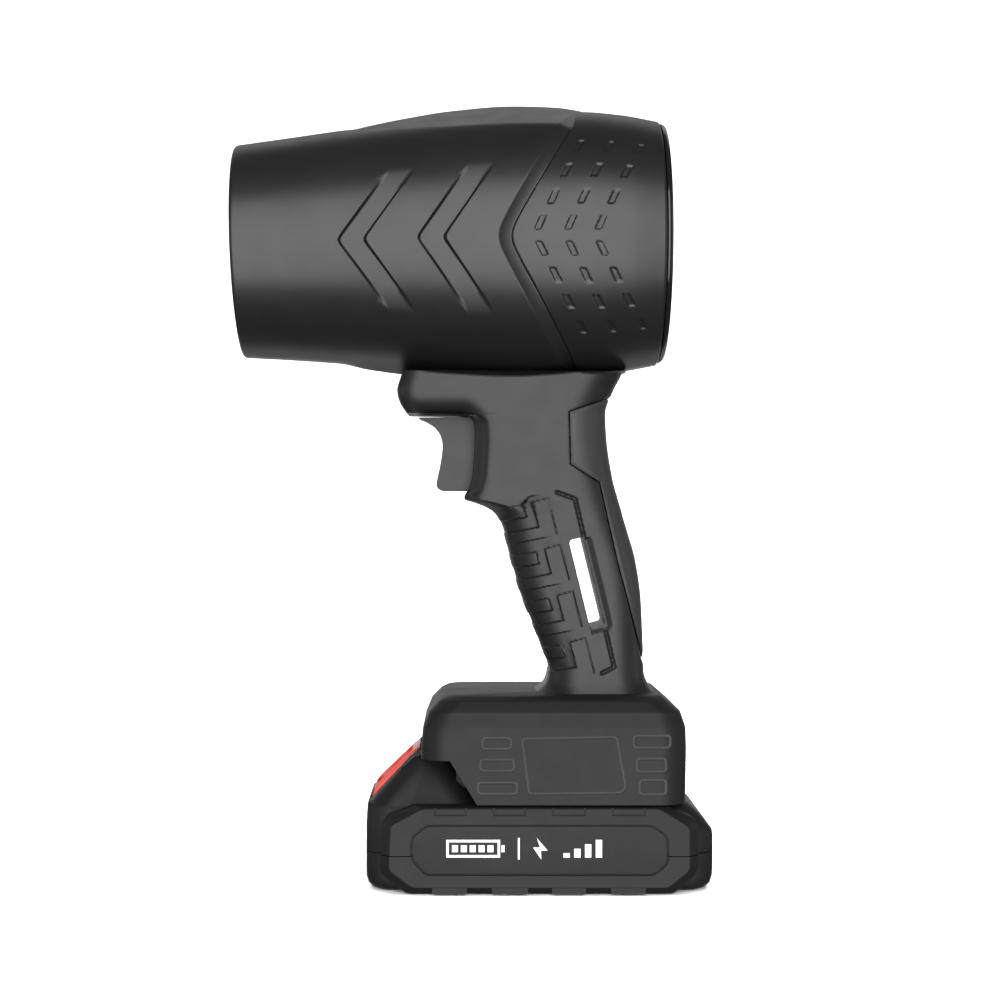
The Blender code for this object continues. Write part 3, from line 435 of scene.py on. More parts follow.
def vee_edge(angle):
    """x of the front shell's rear edge and the width of its step at each angle."""
    folded = fold(angle)
    half = np.where(folded < math.pi / 2, CREST_HALF, KEEL_HALF)
    limit = np.arcsin(half / 44.6)
    from_pole = np.minimum(folded, math.pi - folded)
    share = np.clip(np.sin(from_pole) / np.sin(limit), 0.0, 1.0)
    edge_angle = np.clip(folded, limit, math.pi - limit)
    run = np.hypot(pattern_height(edge_angle), VEE_ROUNDING) - VEE_ROUNDING
    crease = VEE_APEX_X + VEE_SLOPE * run
    x = np.where(from_pole < limit, VEE_TIP_X + share * (crease - VEE_TIP_X), crease)
    return x, STEP_WIDTH * np.where(from_pole < limit, share, 1.0)


def chevron_line(angle, apex):
    """x of a chevron edge: straight arms as seen from the side, easing off towards crest and keel."""
    height = np.abs(pattern_height(angle))
    reach = np.minimum(height, CHEVRON_REACH + 8.0)
    return apex + CHEVRON_SLOPE * (np.hypot(reach, 0.8) - 0.8)


def chevron_sink(angle):
    """How deep a chevron's floor lies: a flatter arc than the barrel's own, out to its ends."""
    height = np.abs(pattern_height(angle))
    share = np.clip(height / CHEVRON_REACH, 0.0, 1.0)
    return CHEVRON_DEPTH * (1.0 - share ** 2)


def shell_lines():
    """Key lines of the front shell from outlet to rear edge: (line function, rings up to it, depth there)."""
    lines = [(lambda a: OUTLET_X + OUTLET_SLANT * 35.0 * np.cos(a), 0, 0.0)]
    for outer, inner in CHEVRONS:
        lines.append((lambda a, at=outer: chevron_line(a, at), 26, 0.0))
        lines.append((lambda a, at=outer + CHEVRON_WALL: chevron_line(a, at), 3, 1.0))
        lines.append((lambda a, at=inner - 0.3: chevron_line(a, at), 8, 1.0))
        lines.append((lambda a, at=inner + CHEVRON_WALL: chevron_line(a, at), 4, 0.0))
    lines.append((lambda a: vee_edge(a)[0], 26, 0.0))
    return lines


def around(x, angle, radius, axis_z):
    return np.stack([x, radius * np.sin(angle), axis_z + radius * np.cos(angle)], axis=-1)


def shell_station(slots, low, high, share):
    """x and angle of every slot on the ring at this share between two key lines."""
    x = np.full(slots.shape, 0.0)
    for _ in range(8):
        angle = barrel_angle(slots, x)
        target = low(angle) + share * (high(angle) - low(angle))
        x = x + 0.8 * (target - x)
    return x, barrel_angle(slots, x)


def rim(line, size, steps=5):
    """(x offset, inset) pairs that round the outlet's rim, front face first."""
    turns = [math.pi / 2 * i / steps for i in range(steps + 1)]
    return [(line + size * (1 - math.cos(t)), size * (1 - math.sin(t))) for t in turns]


def make_front_shell():
    slots = np.arange(2 * AROUND_CREST + 2 * AROUND_SIDE, dtype=float)
    lines = shell_lines()
    rings = []
    first, angle = shell_station(slots, lines[0][0], lines[0][0], 0.0)
    for forward, inset in rim(0.0, 1.1):
        x = first + forward
        rings.append(around(x, angle, barrel_radius(x, angle) - inset, axis_height(x)))
    for (low, _, depth_a), (high, count, depth_b) in zip(lines, lines[1:]):
        for i in range(1, count + 1):
            share = i / count
            x, angle = shell_station(slots, low, high, share)
            if low is lines[0][0] and i == 1:
                x = np.maximum(x, first + 1.4)
            depth = (depth_a + (depth_b - depth_a) * float(smooth(share))) * chevron_sink(angle)
            radius = barrel_radius(x, angle) - depth
            rings.append(around(x, angle, radius, axis_height(x)))
    rings += shell_back(slots)
    shell = lofted("front_shell_fine", rings, CASE, closed=True, sharp=24.0)
    hole = box("lead_hole", (0.0, -8.0, 160.0), (20.0, 8.0, 176.0))
    cut(shell, [hole], sharp=24.0)
    settle(shell, "housing", ["front_shell"])


def shell_back(slots):
    """The bevelled step at the V, then the inside back to the outlet."""
    edge, angle = shell_station(slots, lambda a: vee_edge(a)[0], lambda a: vee_edge(a)[0], 1.0)
    width = vee_edge(angle)[1]
    deep = STEP_DEPTH * width / STEP_WIDTH
    axis_z = axis_height(edge)
    rings = []
    for share, sink in ((0.05, 0.02), (0.12, 0.1), (0.9, 0.97), (1.0, 1.0)):
        radius = barrel_radius(edge, angle) - deep * sink - 0.02 * share
        rings.append(around(edge + width * share, angle, radius, axis_z))
    wall = np.full(edge.shape, 41.0 - SHELL_WALL)
    rings.append(around(edge + width, angle, wall, axis_z))
    outlet = OUTLET_X + OUTLET_SLANT * 35.0 * np.cos(angle)
    for share in (0.9, 0.7, 0.5, 0.3, 0.15, 0.03, 0.008, 0.0):
        x = outlet + share * (edge - outlet)
        inner = np.minimum(side_radius(x) - SHELL_WALL, 41.0 - SHELL_WALL)
        ease = {0.0: 0.7, 0.008: 0.2}.get(share, 0.0)
        rings.append(around(x, angle, inner + ease, axis_height(x)))
    return rings


# Dimples on the rear shroud: (height of the row, tilt line's apex x, slope) above and below the middle
DIMPLE_ROWS_UP = (4.2, 12.6, 21.5, 30.3)
DIMPLE_ROWS_DOWN = (-4.1, -12.4, -20.5, -28.3)
DIMPLE_UP = (18.5, 0.483)
DIMPLE_DOWN = (18.8, 0.533)
DIMPLE_PITCH = 9.5
DIMPLE_WIDTH = 2.0
DIMPLE_LENGTH = 5.2
DIMPLE_DEPTH = 0.45


def dimple_depth(x, angle):
    """Depth of the 48 rounded dimples, 24 on each side, at each point of the shroud."""
    depth = np.zeros(x.shape)
    for rows, (apex, slope) in ((DIMPLE_ROWS_UP, DIMPLE_UP), (DIMPLE_ROWS_DOWN, DIMPLE_DOWN)):
        for row in rows:
            arc = 43.0 * (angle_of(row) - fold(angle))
            for column in range(3):
                middle = apex + slope * abs(row) + DIMPLE_PITCH * column
                lean = math.copysign(slope, row)
                across = x - middle - lean * arc * 0.9
                along = arc / math.cos(math.atan(slope))
                box_x = np.abs(across) * math.cos(math.atan(slope)) - (DIMPLE_WIDTH / 2 - 0.5)
                box_y = np.abs(along) - (DIMPLE_LENGTH / 2 - 0.5)
                outside = np.hypot(np.maximum(box_x, 0), np.maximum(box_y, 0))
                away = outside + np.minimum(np.maximum(box_x, box_y), 0)
                depth = np.maximum(depth, smooth((0.5 - away) / 0.45 + 0.25))
    return DIMPLE_DEPTH * depth


def angle_of(height):
    return math.acos((height - PATTERN_DROP) / 44.0)


def make_rear_shroud():
    around_count = 720
    angle = np.arange(around_count) * 2 * math.pi / around_count
    start, width = vee_edge(angle)
    start = start + width + 0.3
    rings = []
    along = 130
    for i in range(along + 1):
        x = start + (SHROUD_REAR_X - 0.6 - start) * i / along
        radius = shroud_radius(x) - dimple_depth(x, angle)
        if i == 0:
            radius = radius - 0.25
        rings.append(around(x, angle, radius, SHROUD_AXIS_Z))
    for back, inset in ((0.3, 0.12), (0.08, 0.4), (0.0, 0.8)):
        x = np.full(angle.shape, SHROUD_REAR_X - back)
        rings.append(around(x, angle, shroud_radius(x) - inset, SHROUD_AXIS_Z))
    for share in (1.0, 0.6, 0.3, 0.0):
        x = start + share * (SHROUD_REAR_X - start)
        radius = shroud_radius(x) - 2.4
        rings.append(around(x, angle, radius, SHROUD_AXIS_Z))
    shroud = lofted("rear_shroud_fine", rings, CASE, closed=True, sharp=40.0)
    settle(shroud, "housing", ["rear_shroud"])


def make_intake_ring():
    rear = SHROUD_REAR_X + 0.3
    profile = [(rear, 35.4), (rear, 39.3), (rear + 0.15, 39.6)]
    for i in range(1, 8):
        turn = math.pi / 2 * i / 7
        profile.append((rear + 0.3 + 1.55 * math.sin(turn), 38.0 + 1.6 * math.cos(turn)))
    profile += [(rear + 1.85, 36.6), (rear + 1.6, 35.8), (rear + 1.0, 35.4)]
    turned("intake_ring_fine", profile, (0, 0, SHROUD_AXIS_Z), "X", 160, GLOSS,
           body="housing", slot="gloss_black", replaced=["intake_ring"])

# ---------------------------------------------------------------- handle

# Grip: (z, front x, rear x, half width, corner radius)
GRIP_STATIONS = (
    (61.8, 19.5, 59.6, 19.6, 12.0),
    (63.0, 21.6, 58.4, 19.1, 12.0),
    (65.1, 23.4, 56.9, 18.4, 11.5),
    (68.4, 24.2, 55.8, 17.8, 11.0),
    (78.4, 21.2, 55.5, 17.2, 11.0),
    (91.8, 15.8, 54.9, 17.0, 11.0),
    (105.1, 11.8, 53.1, 17.0, 11.0),
    (115.0, 9.4, 50.4, 17.1, 11.0),
    (119.4, 7.6, 49.1, 17.2, 11.0),
    (122.1, 4.9, 48.4, 17.4, 10.0),
    (124.1, 0.2, 47.8, 17.6, 8.0),
    (125.4, -3.4, 47.4, 17.7, 6.0),
    (126.6, -3.3, 47.1, 17.7, 5.0),
    (128.6, -2.0, 46.5, 17.8, 5.0),
    (133.0, -0.8, 45.4, 18.2, 5.0),
    (144.8, 0.0, 43.6, 18.8, 5.0),
    (149.6, -0.1, 43.3, 18.9, 5.0),
    (151.6, -1.0, 43.2, 19.0, 5.0),
    (152.6, -2.6, 43.2, 19.0, 5.0),
    (153.1, -5.0, 43.2, 19.0, 5.0),
    (153.5, -22.2, 43.2, 19.0, 6.0),
    (161.1, -25.4, 45.8, 19.2, 7.0),
    (166.6, -23.9, 48.6, 19.4, 7.0),
    (172.0, -23.0, 50.2, 19.6, 7.0),
)
FOOT_STATIONS = (
    (28.4, -17.0, 67.5, 35.0, 9.0),
    (46.0, -17.2, 67.8, 35.2, 9.0),
    (52.4, -16.6, 67.6, 35.1, 9.0),
    (57.4, -14.6, 66.0, 33.2, 8.5),
    (61.0, -11.2, 61.8, 30.4, 8.0),
    (62.2, -8.8, 60.4, 28.0, 7.0),
)
FOOT_FRONT_CUT = ((-40.0, 42.4), (-7.9, 42.4), (0.9, 28.2), (0.9, 20.0), (-40.0, 20.0))
PALM_OUTLINE = (
    (44.5, 158.6), (30.8, 153.8), (31.2, 136.8), (40.8, 130.8),
    (46.5, 105.4), (55.2, 72.8), (57.5, 69.0), (70.0, 69.0), (70.0, 165.0),
)
PALM_SKIN = 2.2
MOUTH_OUTLINE = (
    (-60.0, 153.2), (-60.0, 126.4), (-3.6, 126.4), (-2.0, 128.6), (-0.8, 133.0),
    (-0.1, 144.8), (-0.4, 149.6), (-1.4, 151.8), (-3.4, 153.2),
)
MOUTH_ROLL = 7.0
NECK_Z = 172.0
OVERHANG_RINGS = (152.7, 152.9, 153.15, 153.2, 153.25, 153.3, 153.35, 153.4, 153.45)
PARTING = 0.15
# Grip relief, first of four motifs; each next one is a pitch further down the lean
MOTIF_PITCH = (4.067, -15.193)
MOTIF_COUNT = 4
MOTIF_PAD = ((-6.0, 119.99), (15.73, 123.47), (17.03, 119.57), (-6.0, 115.6))
MOTIF_ELL = (
    (18.66, 124.45), (23.86, 125.75), (26.87, 113.71), (-6.0, 106.75), (-6.0, 110.95), (20.94, 116.32),
)
MOTIF_FALL = 0.2117
MOTIF_RISE = MOTIF_PITCH[1] - MOTIF_FALL * MOTIF_PITCH[0]
MOTIF_CORNER = (26.79, 114.04)
MOTIF_EDGE = 0.5
MOTIF_REACH = 6.2
PAD_DEPTH = 0.35
DARK_GROOVE = ((26.79, 127.54), (32.65, 125.43), (45.34, 70.77), (41.43, 68.82))
SLOT_LINE = ((33.4, 111.6), (40.0, 84.6))
SLOT_WIDTH = 5.2


def half_rings(rows, counts, side):
    """Half of rounded rectangles, front middle to rear middle: points and outward normals."""
    z, front, rear, half, radius = (rows[:, i][:, None] for i in range(5))
    behind = rows[:, 5][:, None] if rows.shape[1] > 5 else radius
    edge, corner, flank = counts
    share = np.linspace(0.0, 1.0, edge, endpoint=False)[None, :]
    turn = np.linspace(0.0, math.pi / 2, corner, endpoint=False)[None, :]
    along = np.linspace(0.0, 1.0, flank, endpoint=False)[None, :]
    sine = np.sin(turn)
    cosine = np.cos(turn)
    parts = [
        (front, share * (half - radius), -1.0, 0.0),
        (front + radius * (1 - cosine), half - radius + radius * sine, -cosine, sine),
        (front + radius + along * (rear - front - radius - behind), half, 0.0, 1.0),
        (rear - behind + behind * sine, half - behind + behind * cosine, sine, cosine),
        (rear, (1 - share) * (half - behind), 1.0, 0.0),
        (rear, 0.0, 1.0, 0.0),
    ]
    parts = [np.broadcast_arrays(*part) for part in parts]
    x, y, normal_x, normal_y = (np.concatenate([part[i] for part in parts], axis=1) for i in range(4))
    y = np.maximum(y, PARTING)
    return x, side * y, z + 0 * x, normal_x, side * normal_y


def grip_rows(z):
    """Stations of the grip at heights z, with the rear corner radius last."""
    columns = [z] + [curve_through(GRIP_STATIONS, i, z) for i in (1, 2, 3, 4)]
    columns.append(np.interp(z, (61.8, 68.0, 100.0, 125.0, 172.0), (12.0, 11.0, 11.0, 13.0, 13.0)))
    return np.stack(columns, axis=1)


def motif_sink(x, z):
    """Depth of the four stepped grip motifs at each point, as seen from the side."""
    depth = np.zeros(x.shape)
    lean = MOTIF_PITCH[0] / MOTIF_PITCH[1]
    corner_x, corner_z = MOTIF_CORNER
    left = corner_x + lean * (z - corner_z) - x
    valley = smooth((left - 1.0) / MOTIF_REACH)
    upper = MOTIF_PAD[1][1] + 0.16 * (x - MOTIF_PAD[1][0]) + 0.2 + 2.5 * smooth((x - 15.0) / 3.0)
    last = corner_z + MOTIF_FALL * (x - corner_x) + MOTIF_RISE * (MOTIF_COUNT - 1)
    within = smooth((upper - z) / MOTIF_EDGE) * smooth((z - last) / MOTIF_EDGE)
    for i in range(MOTIF_COUNT):
        local_x = x - MOTIF_PITCH[0] * i
        local_z = z - MOTIF_PITCH[1] * i
        ell = sunk(local_x, local_z, MOTIF_ELL, MOTIF_EDGE)
        pad = sunk(local_x, local_z, MOTIF_PAD, MOTIF_EDGE)
        end = corner_z + MOTIF_FALL * (local_x - corner_x)
        start = end - MOTIF_RISE
        slope = np.clip((start - local_z) / 9.0, 0.0, 1.0)
        here = (local_z <= start) & (local_z > end)
        floor = (0.6 + 0.75 * slope) * valley * smooth((start - local_z) / MOTIF_EDGE)
        floor = floor + (PAD_DEPTH - floor) * pad
        depth = np.where(here, floor * (1.0 - ell), depth)
        lines = line_groove(local_x, local_z, MOTIF_ELL[:3], 0.75)
        lines = np.maximum(lines, line_groove(local_x, local_z, MOTIF_PAD[:3], 0.7))
        depth = np.maximum(depth, depth + 0.3 * lines * here)
    return depth * within


def slot_axes():
    """The strap slot's lower end, upper end and direction between them."""
    high, low = (Vector(end) for end in SLOT_LINE)
    return low, high, (high - low).normalized()


def slot_bevel(x, z):
    """The slope that leads into the strap slot along its rear and lower edges."""
    low, high, along = slot_axes()
    u = (x - low.x) * along.x + (z - low.y) * along.y
    v = (x - low.x) * along.y - (z - low.y) * along.x
    length = (high - low).length
    rear = np.clip((SLOT_WIDTH / 2 + 2.4 - v) / 2.0, 0.0, 1.0) * (v > -SLOT_WIDTH / 2)
    lower = np.clip((u + 2.9) / 1.6, 0.0, 1.0)
    upper = np.clip((length + 0.6 - u) / 0.6, 0.0, 1.0)
    return 1.1 * rear * lower * upper


def grip_sink(x, z, sideways, palm):
    """Depth of all relief in the grip's sides; palm stands for the overmould's own face."""
    depth = motif_sink(x, z) * (0.3 + 0.7 * sideways)
    depth = np.maximum(depth, 0.9 * line_groove(x, z, DARK_GROOVE, 1.9))
    depth = np.maximum(depth, slot_bevel(x, z))
    away = signed_distance(x, z, MOUTH_OUTLINE)
    near = np.clip(MOUTH_ROLL - away, 0.0, MOUTH_ROLL)
    depth = depth + (MOUTH_ROLL - np.sqrt(MOUTH_ROLL ** 2 - near ** 2)) * sideways ** 2
    bed = signed_distance(x, z, PALM_OUTLINE)
    if palm:
        return depth + 0.4 * smooth(1.0 + (bed + 0.2) / 0.9)
    rolled = 0.3 * smooth(1.0 - bed / 0.7)
    return np.where(bed < 0.0, depth + PALM_SKIN + 0.05, depth + rolled)


def neck_top(x, y):
    """Height of the neck's flat shoulders: the barrel's underside near its middle, a little below it."""
    y = np.minimum(np.abs(y), 4.0)
    angle = math.pi - np.arcsin(np.clip(np.abs(y) / 44.0, 0.0, 0.99))
    for _ in range(4):
        edge, width = vee_edge(angle)
        share = np.clip((x - edge) / np.maximum(width, 0.2), 0.0, 1.0)
        shell = barrel_radius(x, angle)
        radius = shell + share * (shroud_radius(x) + 0.1 - shell)
        angle = math.pi - np.arcsin(np.clip(np.abs(y) / radius, 0.0, 0.99))
    return axis_height(x) + radius * np.cos(angle) - 0.4


def grip_surface(z_low, z_high, step, side, palm=False):
    """Rings of half the grip, displaced by its relief and trimmed to the barrel."""
    z = np.concatenate([np.arange(z_low, z_high, step), [z_high]])
    if z_low < 153.3 < z_high:
        z = np.sort(np.concatenate([z, OVERHANG_RINGS]))
    x, y, height, normal_x, normal_y = half_rings(grip_rows(z), (10, 44, 56), side)
    sink = grip_sink(x, height, np.abs(normal_y), palm)
    x = x - normal_x * sink
    y = side * np.maximum(np.abs(y - normal_y * sink), PARTING)
    if z_high > 160.0:
        lid = neck_top(x, y) - 0.5
        over = height > lid
        height = np.where(over, lid + (height - lid) * 0.5 / (NECK_Z + 0.5 - lid), height)
    return np.stack([x, y, height], axis=-1)


def foot_rings(side):
    """Rings of half the foot, from the rails up to its rounded top."""
    z = np.concatenate([np.arange(28.4, 62.0, 0.8), [46.0, 52.4, 57.4, 61.0, 62.2]])
    z = np.unique(z)
    stations = np.array(FOOT_STATIONS)
    rows = np.stack([z] + [np.interp(z, stations[:, 0], stations[:, i]) for i in (1, 2, 3, 4)], axis=1)
    x, y, height, _, _ = half_rings(rows, (10, 44, 56), side)
    return np.stack([x, y, height], axis=-1)


def slot_cutter():
    """The strap slot, right through the grip."""
    low, high, along = slot_axes()
    across = Vector((along.y, -along.x)) * SLOT_WIDTH / 2
    outline = []
    for end, sign in ((high, 1), (low, -1)):
        for side in (-1, 1):
            outline.append(tuple(end + along * sign + across * side * sign))
    return prism("strap_slot", rounded_outline(outline, 1.3), 60.0)


# Screw bosses: (x, z, depth of the head's seat)
HANDLE_SCREWS = (
    (-15.5, 160.0, 15.5), (40.6, 161.5, 15.5), (35.5, 76.0, 12.5), (-8.5, 50.0, 30.0), (64.5, 48.0, 30.0),
)
FOOT_PANELS = (
    ((2.6, 49.7), (11.5, 49.7), (11.5, 46.2), (2.3, 46.2)),
    ((1.7, 42.8), (12.4, 42.8), (12.4, 39.3), (1.7, 39.3)),
    ((1.0, 35.5), (13.4, 35.5), (13.4, 32.0), (1.0, 32.0)),
    ((15.0, 49.4), (45.0, 50.0), (47.9, 33.9), (46.3, 32.3), (17.2, 32.0)),
    ((50.4, 50.4), (62.1, 50.4), (61.8, 46.6), (50.4, 46.6)),
    ((51.4, 43.1), (60.6, 43.1), (60.6, 39.0), (51.4, 39.0)),
    ((52.3, 36.3), (60.6, 36.3), (60.6, 31.8), (52.3, 31.8)),
)
RAIL_HALF = 17.6
FLANGE_HALF = 21.6
RAIL_TOP = 38.0


def hollow_cutters():
    """The handle's hollows: trigger mouth, board room, lead channels, rail channel and screw holes."""
    neck = ((-8.0, 156.5), (-8.0, 175.0), (34.5, 175.0), (34.5, 156.0), (38.6, 150.0), (39.4, 128.0),
            (13.8, 128.0), (13.8, 156.5))
    front = ((13.5, 126.5), (16.5, 106.0), (22.0, 88.0), (31.0, 88.0),
             (29.4, 104.0), (26.4, 118.0), (27.5, 126.5))
    rear = ((37.8, 134.0), (38.4, 118.0), (41.0, 105.0), (45.0, 86.0), (45.6, 56.0),
            (51.4, 56.0), (51.6, 86.0), (49.4, 105.0), (45.2, 118.0), (41.6, 128.0), (40.4, 134.0))
    foot = ((-2.0, 40.6), (59.0, 40.6), (59.0, 55.0), (56.0, 58.0), (2.0, 58.0), (-2.0, 54.0))
    cutters = [
        prism("neck_hollow", neck, 14.5),
        prism("front_hollow", front, 13.0),
        prism("rear_hollow", rear, 9.0),
        prism("foot_hollow", foot, 27.0),
        box("trigger_mouth", (-40.0, -9.6, 127.4), (14.2, 9.6, 152.8)),
        box("rail_channel", (-40.0, -RAIL_HALF - 0.5, 20.0), (68.0, RAIL_HALF + 0.5, 32.0)),
        box("flange_channel", (-40.0, -FLANGE_HALF - 0.5, 31.6), (68.0, FLANGE_HALF + 0.5, RAIL_TOP + 0.5)),
        box("contact_window", (38.0, -15.0, 36.0), (58.0, 15.0, 42.0)),
        prism("foot_front_cut", FOOT_FRONT_CUT, 60.0),
        slot_cutter(),
    ]
    for i, (x, z, head) in enumerate(HANDLE_SCREWS):
        profile = ((-8.0, 0.0), (-8.0, 1.5), (head - 2.6, 1.5), (head - 2.6, 3.3), (60.0, 3.3), (60.0, 0.0))
        cutters.append(turned(f"screw_hole_{i}", profile, (x, 0.0, z), "Y", 32))
    return cutters


def frame_cutter(name, outline, width, low_y, high_y):
    """A closed band along an outline, to engrave it into a side."""
    outer = offset_outline(rounded_outline(outline, 1.1, 4), width / 2)
    inner = offset_outline(rounded_outline(outline, 1.1, 4), -width / 2)
    rings = []
    for spots, y in ((outer, low_y), (outer, high_y), (inner, high_y), (inner, low_y)):
        rings.append([(x, y, z) for x, z in spots])
    return lofted(name, rings, closed=True)


def anticlockwise(outline):
    area = sum(a[0] * b[1] - b[0] * a[1] for a, b in zip(outline, outline[1:] + outline[:1]))
    return outline if area > 0 else outline[::-1]


def make_handle():
    for name, side in (("handle_left", -1), ("handle_right", 1)):
        half = lofted(name + "_fine", grip_surface(56.0, NECK_Z, 0.34, side), BODY)
        foot = lofted("foot_form", foot_rings(side), PACK)
        cut(half, [foot], "UNION")
        cut(half, hollow_cutters())
        panels = []
        for i, outline in enumerate(FOOT_PANELS):
            low, high = sorted((side * 34.4, side * 38.0))
            panels.append(frame_cutter(f"panel_{i}", anticlockwise(outline), 0.8, low, high))
        cut(half, panels, sharp=28.0)
        settle(half, "housing", [name])


def make_palm_grip():
    left = grip_surface(64.0, 162.0, 0.4, -1, True)
    right = grip_surface(64.0, 162.0, 0.4, 1, True)
    rings = np.concatenate([left, right[:, ::-1]], axis=1)
    palm = lofted("palm_grip_fine", rings, RUBBER)
    inside = offset_outline(anticlockwise(PALM_OUTLINE), -0.2)
    cut(palm, [prism("palm_region", inside, 60.0)], "INTERSECT")
    rows = grip_rows(np.arange(60.0, 165.0, 1.5))
    core = []
    for z, front, rear, half, radius, behind in rows:
        row = (z, front + 2.0, rear - 2.0, half - 2.0, max(2.0, radius - 2.0), behind - 2.0)
        core.append(full_ring(row, (6, 20, 20)))
    cut(palm, [lofted("palm_core", core)])
    settle(palm, "housing", ["palm_grip"])


TRIGGER_OUTLINE = (
    (-10.86, 128.0), (2.2, 128.0), (4.6, 128.0), (4.6, 152.3), (-19.0, 152.3), (-16.2, 151.2),
    (-13.49, 149.54),
    (-11.71, 147.31), (-10.76, 144.84), (-10.53, 142.54), (-10.76, 140.14), (-11.38, 136.29),
    (-12.6, 130.73), (-12.5, 129.1),
)


def pillow(name, outline, half_width, edge, finish, middle_y=0.0, steps=4):
    """A plate across Y whose rim is rounded over by the edge radius."""
    rings = []
    for side in (-1, 1):
        turns = [math.pi / 2 * i / steps for i in range(steps + 1)]
        arc = [(edge * (1 - math.cos(t)), half_width - edge + edge * math.sin(t)) for t in turns]
        for inset, y in (arc[::-1] if side < 0 else arc):
            ring = offset_outline(outline, -inset)
            rings.append([(x, middle_y + side * y, z) for x, z in ring])
    return lofted(name, rings, finish)


def make_trigger():
    smooth_line = rounded_outline(TRIGGER_OUTLINE, 0.9, 3)
    trigger = prism("trigger_fine", anticlockwise(smooth_line), 9.0, 0.0, BODY, sharp=50.0)
    soften(trigger, 0.9, 4, 60.0)
    settle(trigger, "trigger", ["trigger"])


# ---------------------------------------------------------------- battery

CASE_SPLIT_Z = 12.4
CASE_TOP_Z = 27.9
CASE_SIDE_HALF = 37.0
SIDE_BEVEL = 2.8
SIDE_OUTLINE = (
    (-27.4, 8.0), (-19.8, 2.4), (61.2, 2.4), (68.1, 8.0),
    (68.1, 21.7), (58.5, CASE_TOP_Z - 0.3), (-16.7, CASE_TOP_Z - 0.3), (-26.8, 22.2),
)
LABEL_OUTLINE = (
    (-19.8, 12.0), (-15.4, 7.0), (56.8, 7.0), (60.9, 10.8),
    (60.6, 18.8), (55.9, 22.0), (-15.1, 22.0), (-19.8, 18.2),
)
TOP_TABS = ((-12.9, -2.5), (5.8, 16.2), (24.4, 35.1), (43.3, 54.0))
BOTTOM_TABS = ((-13.5, -2.5), (5.4, 16.8), (24.4, 35.1), (43.0, 54.0))
TAB_LINE = 0.55
TAB_END_Z = 25.3
TAB_OPEN_Z = 30.0
CELL_HOLLOW = (
    (-25.5, 8.4), (-20.5, 3.0), (62.0, 3.0), (68.1, 8.4),
    (68.1, 17.0), (63.0, 22.2), (-20.5, 22.2), (-25.5, 17.0),
)
# Core: (z, front x, rear x, half width, corner radius)
CORE_STATIONS = (
    (0.25, -31.4, 73.0, 27.4, 6.0),
    (0.8, -32.9, 74.5, 28.8, 7.0),
    (2.2, -34.2, 75.8, 30.2, 8.0),
    (4.4, -34.8, 76.4, 30.9, 8.0),
    (8.0, -34.9, 76.6, 31.0, 8.0),
    (17.6, -34.9, 76.6, 31.0, 8.0),
    (19.4, -34.9, 76.3, 31.0, 8.0),
    (20.6, -34.9, 75.4, 30.9, 8.0),
    (23.6, -34.8, 73.2, 29.9, 8.0),
    (26.8, -34.6, 69.8, 28.6, 7.0),
    (27.6, -34.5, 68.8, 27.8, 7.0),
    (27.9, -34.4, 68.0, 27.0, 7.0),
)
HOUSING_STATIONS = (
    (24.0, -34.7, 4.0, 29.0, 8.0),
    (26.4, -34.5, 2.0, 28.6, 8.0),
    (27.6, -33.8, 0.8, 28.2, 8.0),
    (40.4, -22.0, -8.2, 20.6, 7.0),
    (41.4, -21.2, -9.0, 19.8, 6.0),
    (41.85, -20.4, -9.6, 19.0, 5.4),
)


def full_ring(row, counts=(6, 16, 20)):
    """A whole rounded rectangle for one station."""
    rows = np.array([row])
    halves = [np.stack(half_rings(rows, counts, side)[:3], axis=-1)[0] for side in (-1, 1)]
    return np.concatenate([halves[0], halves[1][::-1]])


def form(name, stations):
    return lofted(name, [full_ring(row) for row in stations])


def cheek_form(name):
    """The eight-sided cheeks with their bevel, corners slightly rounded."""
    flat = rounded_outline(anticlockwise(SIDE_OUTLINE), 1.6, 4)
    rings = []
    steps = ((37.0, 0.25), (36.85, 0.06), (36.6, -0.12))
    steps += ((34.3, -SIDE_BEVEL + 0.2), (33.9, -SIDE_BEVEL), (31.0, -SIDE_BEVEL))
    for side in (-1, 1):
        for y, inset in (steps if side < 0 else steps[::-1]):
            ring = offset_outline(flat, -inset)
            rings.append([(x, side * y, min(max(z, 0.35), CASE_TOP_Z)) for x, z in ring])
    return lofted(name, rings)


def tab_band(low_x, high_x):
    """The U-shaped outline engraved round one top tab, open upwards."""
    floor_z = TAB_END_Z + TAB_LINE
    return anticlockwise([
        (low_x, TAB_OPEN_Z), (low_x, TAB_END_Z), (high_x, TAB_END_Z), (high_x, TAB_OPEN_Z),
        (high_x - TAB_LINE, TAB_OPEN_Z), (high_x - TAB_LINE, floor_z),
        (low_x + TAB_LINE, floor_z), (low_x + TAB_LINE, TAB_OPEN_Z),
    ])


def side_cutter(name, outline, side, depth):
    """A cutter that sinks an outline into one cheek."""
    low_y, high_y = sorted((side * (CASE_SIDE_HALF - depth), side * 45.0))
    return prism(name, outline, (high_y - low_y) / 2, (high_y + low_y) / 2)


